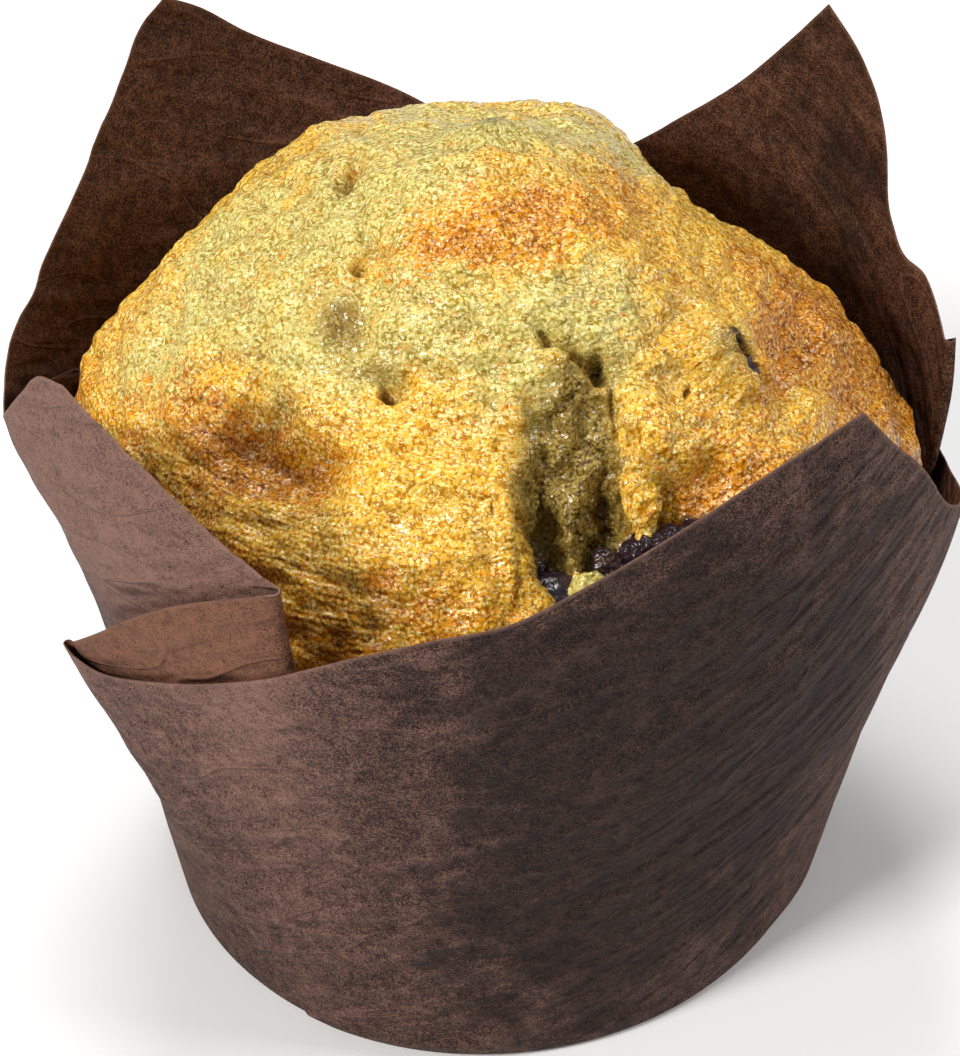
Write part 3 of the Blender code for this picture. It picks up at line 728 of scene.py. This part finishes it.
def fill_base(sheet):
    """Closes the sheet's round base and turns all its faces outwards."""
    shape = bmesh.new()
    shape.from_mesh(sheet.data)
    top = BASE_EDGE_HEIGHT * MM
    base = [edge for edge in shape.edges if edge.is_boundary and max(v.co.z for v in edge.verts) < top]
    bmesh.ops.contextual_create(shape, geom=base)
    bmesh.ops.recalc_face_normals(shape, faces=shape.faces)
    shape.to_mesh(sheet.data)
    shape.free()


# Muffin

def crown_outline():
    """The crown's outline from its top down in even steps of length: radius and height."""
    steps = 4000
    angle = 0.5 * math.pi * (1.0 - np.linspace(0.0, 1.0, steps + 1))
    radius = np.maximum(np.cos(angle), 0.0) ** CROWN_SIDE_EXPONENT * CROWN_RADII[0]
    z = CROWN_START + CROWN_HEIGHT * np.maximum(np.sin(angle), 0.0) ** CROWN_TOP_EXPONENT
    length = np.concatenate([[0.0], np.cumsum(np.hypot(np.diff(radius), np.diff(z)))])
    return length / length[-1], radius, z


def square_to_disc(places):
    """Turns a square of side 2 into a disc of radius 1, ring by ring."""
    a = places[:, 0]
    b = places[:, 1]
    wide = np.abs(a) > np.abs(b)
    ring = np.where(wide, a, b)
    other = np.where(wide, b, a)
    turn = 0.25 * math.pi * np.divide(other, ring, out=np.zeros_like(ring), where=np.abs(ring) > 1e-9)
    return np.stack([ring * np.where(wide, np.cos(turn), np.sin(turn)),
                     ring * np.where(wide, np.sin(turn), np.cos(turn))], -1)


def gather_round_pit(disc):
    """Draws the grid's points together round the pit, where the crust has its finest forms."""
    offset = disc - np.array(CROWN_FOCUS)
    near = np.exp(-(offset ** 2).sum(1) / CROWN_GATHER_WIDTH ** 2)
    inner = smooth_step((1.0 - np.linalg.norm(disc, axis=1)) / CROWN_RIM_SHARE)
    return disc - CROWN_GATHER * (near * inner)[:, None] * offset


def shape_muffin(x, y, z):
    """Moves points of the turned shape to their places on the real muffin."""
    radius = np.maximum(np.hypot(x, y), NEAR_ZERO)
    front = (0.5 - 0.5 * y / radius) ** 2
    exponent = CROWN_SIDE_EXPONENT + (CROWN_FRONT_EXPONENT - CROWN_SIDE_EXPONENT) * front
    fuller = (radius / CROWN_RADII[0]) ** (exponent / CROWN_SIDE_EXPONENT) * CROWN_RADII[0] / radius
    fuller = np.where(z > CROWN_START, fuller, 1.0)
    x = x * fuller
    y = y * fuller
    share = np.maximum(0.0, (z - CROWN_START) / CROWN_HEIGHT)
    blend = smooth_step(z / CROWN_START)
    steep = np.hypot(x, y) / CROWN_RADII[0]
    tilted = z + CROWN_TILT * blend * x / CROWN_RADII[0]
    y = y * (1.0 + (CROWN_RADII[1] / CROWN_RADII[0] - 1.0) * blend)
    x = x + CROWN_CENTRE[0] * blend + CROWN_LEAN[0] * share
    y = y + CROWN_CENTRE[1] * blend + CROWN_LEAN[1] * share
    crown = smooth_step((z - CROWN_START) / CROWN_BLEND_HEIGHT)
    rough = ROUGHNESS_HEIGHT * noise_at(np.stack([x, y, tilted], -1), ROUGHNESS_SIZE, 3)
    relief = crown * (blobs(CROWN_FORMS, *ragged(x, y)) + rough)
    x = x + relief * steep * RELIEF_SIDEWAYS * (x - CROWN_CENTRE[0]) / CROWN_RADII[0]
    y = y + relief * steep * RELIEF_SIDEWAYS * (y - CROWN_CENTRE[1]) / CROWN_RADII[1]
    return keep_inside_case(x, y, tilted + relief)


def keep_inside_case(x, y, z):
    """Pulls points in to the clearance from the paper's inner layer."""
    shift = wall_shift(z)
    limit = wall_radius(z) - BODY_CLEARANCE
    radius = np.maximum(np.hypot(x - shift, y), NEAR_ZERO)
    scale = np.minimum(1.0, limit / radius)
    return np.stack([shift + (x - shift) * scale, y * scale, z], -1)


def ring_places(places):
    """Places whose noise is drawn out along rings round the crown's top, and their distance from it."""
    x, y, z = places.T
    east = x - CROWN_CENTRE[0] - CROWN_LEAN[0]
    north = y - CROWN_CENTRE[1] - CROWN_LEAN[1]
    angle = np.arctan2(north, east)
    reach = np.hypot(east, north)
    rings = np.stack([RING_SIZE * np.cos(angle), RING_SIZE * np.sin(angle), reach - RING_SLOPE * z], -1)
    return rings, reach


def ridges(places, size):
    """Sharp valleys between rounded ridges, about zero on average."""
    return np.abs(noise_at(places, size)) - RIDGE_MEAN


def crust_relief(places):
    """Relief of the crust along its normal in millimetres, and how far each point lies in a fold, 0 to 1,
    which the finish darkens as painted shade.
    """
    rings, reach = ring_places(places)
    away = smooth_step((reach - RINGS_START) / RINGS_GROW_OVER)
    pillows = ridges(places + 10.0, PILLOWS[0])
    small_pillows = ridges(places, SMALL_PILLOWS[0])
    folds = away * ridges(rings, FOLDS[0])
    wrinkles = away * ridges(rings + 40.0, WRINKLES[0])
    grains = noise_at(places + 60.0, GRAINS[0])
    blisters = BLISTERS[1] * np.clip(noise_at(places + 20.0, BLISTERS[0]), 0.0, 1.0)
    torn = TORN_CRUMB[1] * noise_at(places + 90.0, TORN_CRUMB[0], 3)
    x, y = ragged(places[:, 0], places[:, 1])
    forms = blobs(CRUST_FORMS, x, y)
    crumb = np.clip(blobs(CRUMB_PLACES, x, y), 0.0, 1.0)
    back = smooth_step((places[:, 1] - CALM_BACK_START) / CALM_BACK_GROWS_OVER)
    swells = (1.0 - CALM_BACK_SHARE * back) * (PILLOWS[1] * pillows + SMALL_PILLOWS[1] * small_pillows)
    skin = swells + FOLDS[1] * folds + WRINKLES[1] * wrinkles + blisters
    relief = forms + (1.0 - CALM_CRUMB_SHARE * crumb) * skin + GRAINS[1] * grains + crumb * torn
    fold = -PILLOWS[2] * pillows - SMALL_PILLOWS[2] * small_pillows - FOLDS[2] * folds
    fold -= WRINKLES[2] * wrinkles + GRAINS[2] * grains + FORMS_AS_FOLDS * forms
    return relief, np.clip(fold, 0.0, 1.0)


def make_muffin(material):
    """The cake: a square grid drawn round into the crown, with its relief, and the body below."""
    muffin = start_piece(
        "muffin_crust", bpy.ops.mesh.primitive_grid_add,
        x_subdivisions=CROWN_GRID, y_subdivisions=CROWN_GRID, size=2.0,
    )
    disc = gather_round_pit(square_to_disc(read_points(muffin)[:, :2]))
    reach = np.clip(np.linalg.norm(disc, axis=1), 0.0, 1.0)
    angle = np.arctan2(disc[:, 1], disc[:, 0])
    shares, radii, heights = crown_outline()
    radius = np.interp(reach, shares, radii)
    height = np.interp(reach, shares, heights)
    places = shape_muffin(radius * np.cos(angle), radius * np.sin(angle), height)
    write_points(muffin, places)
    relief, fold = crust_relief(places)
    # How far each point lies in a fold, for the finish's painted shade.
    paint(muffin, "fold", fold)
    relief = relief * smooth_step((1.0 - reach) / RELIEF_RIM_SHARE)
    grown = places + read_normals(muffin) * relief[:, None]
    write_points(muffin, keep_inside_case(*grown.T) * MM)
    extend_body(muffin)
    paint_crust(muffin)
    finish_piece(muffin, material, "crust", "muffin")
    bpy.ops.object.shade_smooth()


def extend_body(muffin):
    """Extrudes the crown's edge down to the muffin's base and closes it."""
    edge_top = BODY_BOTTOM + BODY_EDGE_RADIUS
    rows = [(z, 0.0) for z in np.linspace(CROWN_START, edge_top, BODY_ROWS + 1)[1:]]
    for turned in np.radians(BODY_EDGE_TURNS):
        inset = BODY_EDGE_RADIUS * (1.0 - math.cos(turned))
        rows.append((edge_top - BODY_EDGE_RADIUS * math.sin(turned), inset))
    bpy.ops.object.mode_set(mode="EDIT")
    bpy.ops.mesh.select_mode(type="VERT")
    bpy.ops.mesh.select_all(action="DESELECT")
    bpy.ops.mesh.select_non_manifold()
    for z, inset in rows:
        bpy.ops.mesh.extrude_region_move()
        bpy.ops.object.mode_set(mode="OBJECT")
        picked = np.empty(len(muffin.data.vertices), bool)
        muffin.data.vertices.foreach_get("select", picked)
        places = read_points(muffin) / MM
        x, y, old_z = places[picked].T
        turn = np.arctan2(y, x - wall_shift(old_z))
        places[picked] = wall_point(turn, z, -BODY_CLEARANCE - inset)
        write_points(muffin, places * MM)
        bpy.ops.object.mode_set(mode="EDIT")
    bpy.ops.mesh.edge_face_add()
    bpy.ops.mesh.select_all(action="SELECT")
    bpy.ops.mesh.normals_make_consistent(inside=False)
    bpy.ops.object.mode_set(mode="OBJECT")


def paint_crust(muffin):
    """Paints where the crust is pale, toasted, torn open to the crumb, or stained by berries, with painted
    shade in its dents and grooves and a painted shadow beside the tongue.
    """
    x, y, z = (read_points(muffin) / MM).T
    x, y = ragged(x, y)
    low = smooth_step((LOW_CRUST_HEIGHT - z) / LOW_CRUST_DROP)
    paint(muffin, "pale", np.clip(blobs(PALE_PLACES, x, y) - LOW_LESS_PALE * low, 0.0, 1.0))
    paint(muffin, "toast", np.clip(blobs(TOAST_AND_SHADE_PLACES, x, y) + LOW_MORE_TOAST * low, 0.0, MOST_TOAST))
    paint(muffin, "crumb", np.clip(blobs(CRUMB_PLACES, x, y), 0.0, 1.0))
    paint(muffin, "stain_and_shadow", np.clip(blobs(STAIN_AND_SHADOW_PLACES, x, y), 0.0, 1.0))
    paint_places(muffin, "rings", ring_places(read_points(muffin) / MM)[0])


# Lumps and berries

def make_lump(name, material):
    """A rough lump of crust or pulp: a round ball, flattened, turned and roughened."""
    centre, half_sizes, turns, roughness, seed, faces = LUMPS[name]["shape"]
    lump = start_piece(
        name, bpy.ops.mesh.primitive_uv_sphere_add, segments=faces, ring_count=faces // 2, radius=1.0,
    )
    places = read_points(lump)
    shift = np.array([seed, 2.0 * seed, 3.0 * seed])
    swell = 1.0 + LUMP_SWELL[0] * noise_at(places * LUMP_SWELL[1] + shift, 1.0, 2)
    places = places * swell[:, None] * np.array(half_sizes)
    turned = Matrix.Identity(3)
    for axis, angle in zip("XYZ", turns):
        turned = Matrix.Rotation(math.radians(angle), 3, axis) @ turned
    places = places @ np.array(turned).T + np.array(centre)
    write_points(lump, places)
    fine = roughness * noise_at(places + shift, LUMP_GRAIN, 2)
    write_points(lump, (places + read_normals(lump) * fine[:, None]) * MM)
    for layer, share in {**LUMPS[name]["colours"], "fold": 0.0}.items():
        paint(lump, layer, np.full(len(places), share))
    paint_places(lump, "rings", ring_places(read_points(lump) / MM)[0])
    bpy.ops.object.shade_smooth()
    finish_piece(lump, material, "crust")


def make_berry(name, material):
    """One cooked berry: a round ball with a wrinkled skin."""
    centre, radius, flattening = BERRIES[name]
    segments, rings = BERRY_FACES
    berry = start_piece(
        name + "_skin", bpy.ops.mesh.primitive_uv_sphere_add, segments=segments, ring_count=rings, radius=1.0,
    )
    round_places = read_points(berry)
    shift = np.array(centre)
    size = 1.0 - BERRY_SHRINK + BERRY_SWELL[0] * noise_at(round_places * BERRY_SWELL[1] + shift, 1.0)
    for depth, repeats in (BERRY_WRINKLES, BERRY_FINE_WRINKLES):
        size += depth * (WRINKLE_MEAN - np.abs(noise_at(round_places * repeats + shift, 1.0)))
    places = round_places * (radius * size)[:, None]
    places[:, 2] *= flattening
    write_points(berry, (places + shift) * MM)
    bpy.ops.object.shade_smooth()
    finish_piece(berry, material, "berry", name)


# Finishes

class Value:
    """A number in a shader, which takes part in plain arithmetic."""

    def __init__(self, finish, socket):
        self.finish = finish
        self.socket = socket

    def math(self, operation, *values, limit=False):
        settings = {"operation": operation, "use_clamp": limit}
        made = self.finish.node("Math", settings, dict(enumerate(values)))
        return Value(self.finish, made.outputs[0])

    def __add__(self, other):
        return self.math("ADD", self, other)

    def __sub__(self, other):
        return self.math("SUBTRACT", self, other)

    def __rsub__(self, other):
        return self.math("SUBTRACT", other, self)

    def __mul__(self, other):
        return self.math("MULTIPLY", self, other)

    __radd__ = __add__
    __rmul__ = __mul__

    def size(self):
        """The number without its sign."""
        return self.math("ABSOLUTE", self)

    def limited(self):
        """The number, held between 0 and 1."""
        return self.math("ADD", self, 0.0, limit=True)

    def ramp(self, low, high):
        """0 below low, 1 above high, and smooth between."""
        values = {"Value": self, "From Min": low, "From Max": high}
        made = self.finish.node("MapRange", {"interpolation_type": "SMOOTHSTEP"}, values)
        return Value(self.finish, made.outputs[0])


class Finish:
    """A material, and the nodes that its expressions make."""

    def __init__(self, name):
        self.material = bpy.data.materials.new(name)
        self.material.use_nodes = True
        self.tree = self.material.node_tree
        self.shader = self.tree.nodes["Principled BSDF"]

    def feed(self, socket, value):
        if isinstance(value, Value):
            self.tree.links.new(value.socket, socket)
        elif isinstance(value, bpy.types.NodeSocket):
            self.tree.links.new(value, socket)
        elif isinstance(value, tuple) and len(value) == 3 and socket.type == "RGBA":
            socket.default_value = (*value, 1.0)
        else:
            socket.default_value = value

    def node(self, kind, settings, values):
        made = self.tree.nodes.new("ShaderNode" + kind)
        for key, value in settings.items():
            setattr(made, key, value)
        for key, value in values.items():
            self.feed(made.inputs[key], value)
        return made

    def place(self):
        return self.node("TexCoord", {}, {}).outputs["Object"]

    def attribute(self, name):
        return Value(self, self.node("Attribute", {"attribute_name": name}, {}).outputs["Fac"])

    def noise(self, place, size, detail=2.0, roughness=0.5, distortion=0.0):
        """Noise of a size in millimetres."""
        values = {"Vector": place, "Scale": 1.0 / (size * MM), "Detail": detail, "Roughness": roughness,
                  "Distortion": distortion}
        return Value(self, self.node("TexNoise", {}, values).outputs[0])

    def painted_noise(self, name, size, detail=2.0, roughness=0.5):
        """Noise of a size in millimetres on the places that are painted on the piece."""
        places = self.node("Attribute", {"attribute_name": name}, {}).outputs["Vector"]
        values = {"Vector": places, "Scale": 1.0 / size, "Detail": detail, "Roughness": roughness}
        return Value(self, self.node("TexNoise", {}, values).outputs[0])

    def domes(self, place, size):
        """Round domes about a size in millimetres apart: 1 at their tops and 0 between them."""
        made = self.node("TexVoronoi", {"feature": "F1"}, {"Vector": place, "Scale": 1.0 / (size * MM)})
        return 1.0 - Value(self, made.outputs["Distance"]).ramp(0.0, 0.9)

    def blend(self, share, first, second, mode="MIX"):
        """Mixes two colours by a share."""
        made = self.node("Mix", {"data_type": "RGBA", "blend_type": mode}, {})
        self.feed(made.inputs[0], share)
        self.feed(made.inputs[6], first)
        self.feed(made.inputs[7], second)
        return made.outputs[2]

    def bump(self, height, depth, normal=None):
        """Relief of a depth in millimetres."""
        values = {"Height": height, "Distance": depth * MM, "Strength": 1.0}
        if normal is not None:
            values["Normal"] = normal
        return self.node("Bump", {}, values).outputs[0]

    def set(self, **values):
        for key, value in values.items():
            self.feed(self.shader.inputs[key.replace("_", " ")], value)
        return self.material


def crust_finish():
    """Thin, glossy, blistered cake crust: cream, gold, toasted and torn open to the crumb, with painted shade
    in its folds and painted highlights on its blisters.
    """
    finish = Finish("baked_crust")
    place = finish.place()
    fine = finish.noise(place, size=0.22, detail=2.0, roughness=0.6)
    domes = finish.domes(place, size=0.34)
    strokes = finish.painted_noise("rings", size=0.5, detail=3.0, roughness=0.6)
    patches = finish.noise(place, size=3.0, detail=4.0, roughness=0.65, distortion=0.5)
    clouds = finish.noise(place, size=9.0, detail=3.0, roughness=0.6)
    swells = finish.painted_noise("rings", size=0.75, detail=1.0)
    ripples = finish.noise(place, size=0.38, detail=0.5)
    grain = 0.3 * domes + 0.3 * fine + 0.4 * strokes
    heat = finish.attribute("toast") + 3.0 * (strokes - 0.5) + 2.6 * (patches - 0.5)
    crumb_share = (finish.attribute("crumb") + 0.9 * (grain - 0.45)).ramp(0.3, 0.85)
    colour = baked_colour(finish, grain, heat, patches, clouds)
    colour = finish.blend(crumb_share, colour, finish.blend(grain.ramp(0.3, 0.56), *CRUMB))
    # Painted shade: darker in the folds and hollows, and near black in the deepest.
    fold = finish.attribute("fold")
    colour = finish.blend(0.65 * fold, colour, FOLD_SHADE, "MULTIPLY")
    colour = finish.blend(fold.ramp(0.65, 1.0), colour, DEEP_FOLD_SHADE)
    # Painted highlights: bright glints mixed into the colour.
    glints = painted_crust_glints(finish, place, fine, domes)
    painted_shine = glints * (0.75 - 0.3 * heat.ramp(0.3, 1.2)) * (1.0 - 0.7 * crumb_share)
    colour = finish.blend(painted_shine, colour, PAINTED_GLINT)
    # Berry stain, and in one place a painted shadow.
    stain_and_shadow_share = (finish.attribute("stain_and_shadow") + 0.6 * (grain - 0.45)).ramp(0.35, 0.8)
    colour = finish.blend(stain_and_shadow_share, colour, STAIN_AND_SHADOW)
    normal = finish.bump(swells, depth=0.5)
    normal = finish.bump(ripples, depth=0.16, normal=normal)
    return finish.set(
        Base_Color=colour, Roughness=0.08 + 0.2 * patches, Normal=normal, Specular_IOR_Level=0.36,
        Subsurface_Weight=0.25, Subsurface_Scale=0.0008, Subsurface_Radius=(1.0, 0.45, 0.12),
    )


def baked_colour(finish, grain, heat, patches, clouds):
    """Gold crust, pale where it is painted so, toasted and then brown with the heat."""
    peak = grain.ramp(0.3, 0.56)
    pale_share = (finish.attribute("pale") + 2.0 * (patches - 0.5) + 2.4 * (clouds - 0.5)).ramp(0.25, 1.1)
    colour = finish.blend(pale_share, finish.blend(peak, *GOLD), finish.blend(peak, *PALE))
    colour = finish.blend(heat.ramp(0.3, 0.95), colour, finish.blend(peak, *TOAST))
    return finish.blend(heat.ramp(0.8, 1.5), colour, finish.blend(peak, *BROWN))


def painted_crust_glints(finish, place, fine, domes):
    """Painted highlights: thin bright lines on the blisters and along the rings, where the wet crust shines.
    """
    lines = finish.noise(place, size=0.45, detail=1.0, distortion=0.4) - 0.5
    streaks = finish.painted_noise("rings", size=0.9, detail=1.0) - 0.5
    glints = (1.0 - lines.size().ramp(0.0, 0.07)) * fine.ramp(0.44, 0.56)
    glints = glints + (1.0 - streaks.size().ramp(0.0, 0.028)) * domes.ramp(0.3, 0.6)
    return glints.limited()


def paper_finish(name, dark, light, edge_sheen):
    """Matt brown baking parchment with short fibres, puckered, soaked with fat in places, with painted shade
    and painted light in places and a painted sheen along its cut edge.
    """
    finish = Finish(name)
    place = finish.place()
    puckers = finish.painted_noise("slant", size=3.4, detail=1.0)
    fibres = finish.noise(place, size=0.17, detail=2.0, roughness=0.7)
    mottle = finish.noise(place, size=1.1, detail=4.0, roughness=0.65)
    lobes = finish.noise(place, size=5.0, detail=3.0, roughness=0.6)
    lines = finish.painted_noise("slant", size=11.0, detail=1.0) - 0.5
    creases = 1.0 - lines.size().ramp(0.0, 0.022)
    grease_shade_and_light = finish.attribute("grease_shade_and_light")
    # Painted light: the places painted below zero are lighter.
    dry_and_lit = (0.0 - grease_shade_and_light).ramp(0.0, 1.0)
    # Painted light: the colour is also lighter on the raised puckers and creases.
    tone = 0.27 + 3.0 * (fibres - 0.5) + 1.2 * (mottle - 0.5) + 0.4 * (puckers - 0.5)
    tone = tone + 0.16 * creases + 0.5 * dry_and_lit
    colour = finish.blend(tone.limited(), dark, light)
    # Darker with fat and with painted shade.
    greasy_and_shaded = (grease_shade_and_light + 2.0 * (lobes - 0.5)).ramp(0.1, 0.8)
    colour = finish.blend(0.65 * greasy_and_shaded, colour, GREASE_AND_SHADE)
    # Painted sheen: lighter near the cut edge.
    edge = 1.0 - finish.attribute("edge").ramp(0.0, 0.45)
    colour = finish.blend(0.35 * edge, colour, edge_sheen)
    normal = finish.bump(puckers + 0.12 * creases, depth=1.1)
    normal = finish.bump(mottle, depth=0.12, normal=normal)
    normal = finish.bump(fibres, depth=0.04, normal=normal)
    return finish.set(Base_Color=colour, Roughness=0.6 + 0.25 * fibres, Normal=normal, Specular_IOR_Level=0.1)


def berry_finish():
    """Cooked berry skin, dark purple and wet."""
    finish = Finish("berry_skin")
    place = finish.place()
    patches = finish.noise(place, size=1.8, detail=3.0, roughness=0.6, distortion=0.5)
    fine = finish.noise(place, size=0.4, detail=3.0, roughness=0.6, distortion=0.4)
    colour = finish.blend(patches.ramp(0.4, 0.75), *BERRY_SKIN)
    normal = finish.bump(patches, depth=0.25)
    normal = finish.bump(fine, depth=0.08, normal=normal)
    return finish.set(Base_Color=colour, Roughness=0.12 + 0.3 * fine, Normal=normal, Coat_Weight=0.4)


# Floor, light and camera

def make_floor():
    floor = start_piece("floor", bpy.ops.mesh.primitive_plane_add, size=FLOOR_SIZE)
    floor.data.materials.append(Finish("pale_floor").set(Base_Color=FLOOR_WHITE, Roughness=FLOOR_ROUGHNESS))


def add_light(name, azimuth, elevation, size, watts, colour):
    """A soft square light that faces the muffin, placed in degrees and metres."""
    lamp = bpy.data.lights.new(name, "AREA")
    lamp.size = size
    lamp.energy = watts
    lamp.color = colour
    item = bpy.data.objects.new(name, lamp)
    turn = math.radians(azimuth)
    rise = math.radians(elevation)
    towards = Vector((math.cos(turn) * math.cos(rise), math.sin(turn) * math.cos(rise), math.sin(rise)))
    item.location = towards * LIGHT_DISTANCE + Vector((0.0, 0.0, LIGHT_AIM_HEIGHT))
    item.rotation_euler = towards.to_track_quat("Z", "Y").to_euler()
    bpy.context.scene.collection.objects.link(item)


def make_light():
    for name, light in LIGHTS.items():
        add_light(name, *light)
    world = bpy.data.worlds.new("studio")
    world.use_nodes = True
    background = world.node_tree.nodes["Background"]
    background.inputs["Color"].default_value = (1.0, 1.0, 1.0, 1.0)
    background.inputs["Strength"].default_value = SKY_STRENGTH
    bpy.context.scene.world = world
    bpy.context.scene.view_settings.view_transform = "Standard"


def make_camera():
    lens = bpy.data.cameras.new("camera")
    lens.lens = VIEW_LENS
    lens.sensor_width = VIEW_SENSOR
    lens.sensor_fit = "AUTO"
    lens.clip_start = VIEW_CLIP_START
    camera = bpy.data.objects.new("camera", lens)
    rise = math.radians(VIEW_ELEVATION)
    place = Vector(VIEW_TARGET) + VIEW_DISTANCE * Vector((0.0, -math.cos(rise), math.sin(rise)))
    tilt = Matrix.Rotation(0.5 * math.pi - rise, 4, "X")
    roll = Matrix.Rotation(math.radians(VIEW_ROLL), 4, "Z")
    camera.matrix_world = Matrix.Translation(place * MM) @ tilt @ roll
    bpy.context.scene.collection.objects.link(camera)
    bpy.context.scene.camera = camera


def main():
    make_camera()
    make_light()
    make_floor()
    outside = paper_finish("paper_outside", *PAPER_OUTSIDE)
    inside = paper_finish("paper_inside", *PAPER_INSIDE)
    make_paper_case(outside, inside)
    crust = crust_finish()
    make_muffin(crust)
    for name in LUMPS:
        make_lump(name, crust)
    skin = berry_finish()
    for name in BERRIES:
        make_berry(name, skin)


main()
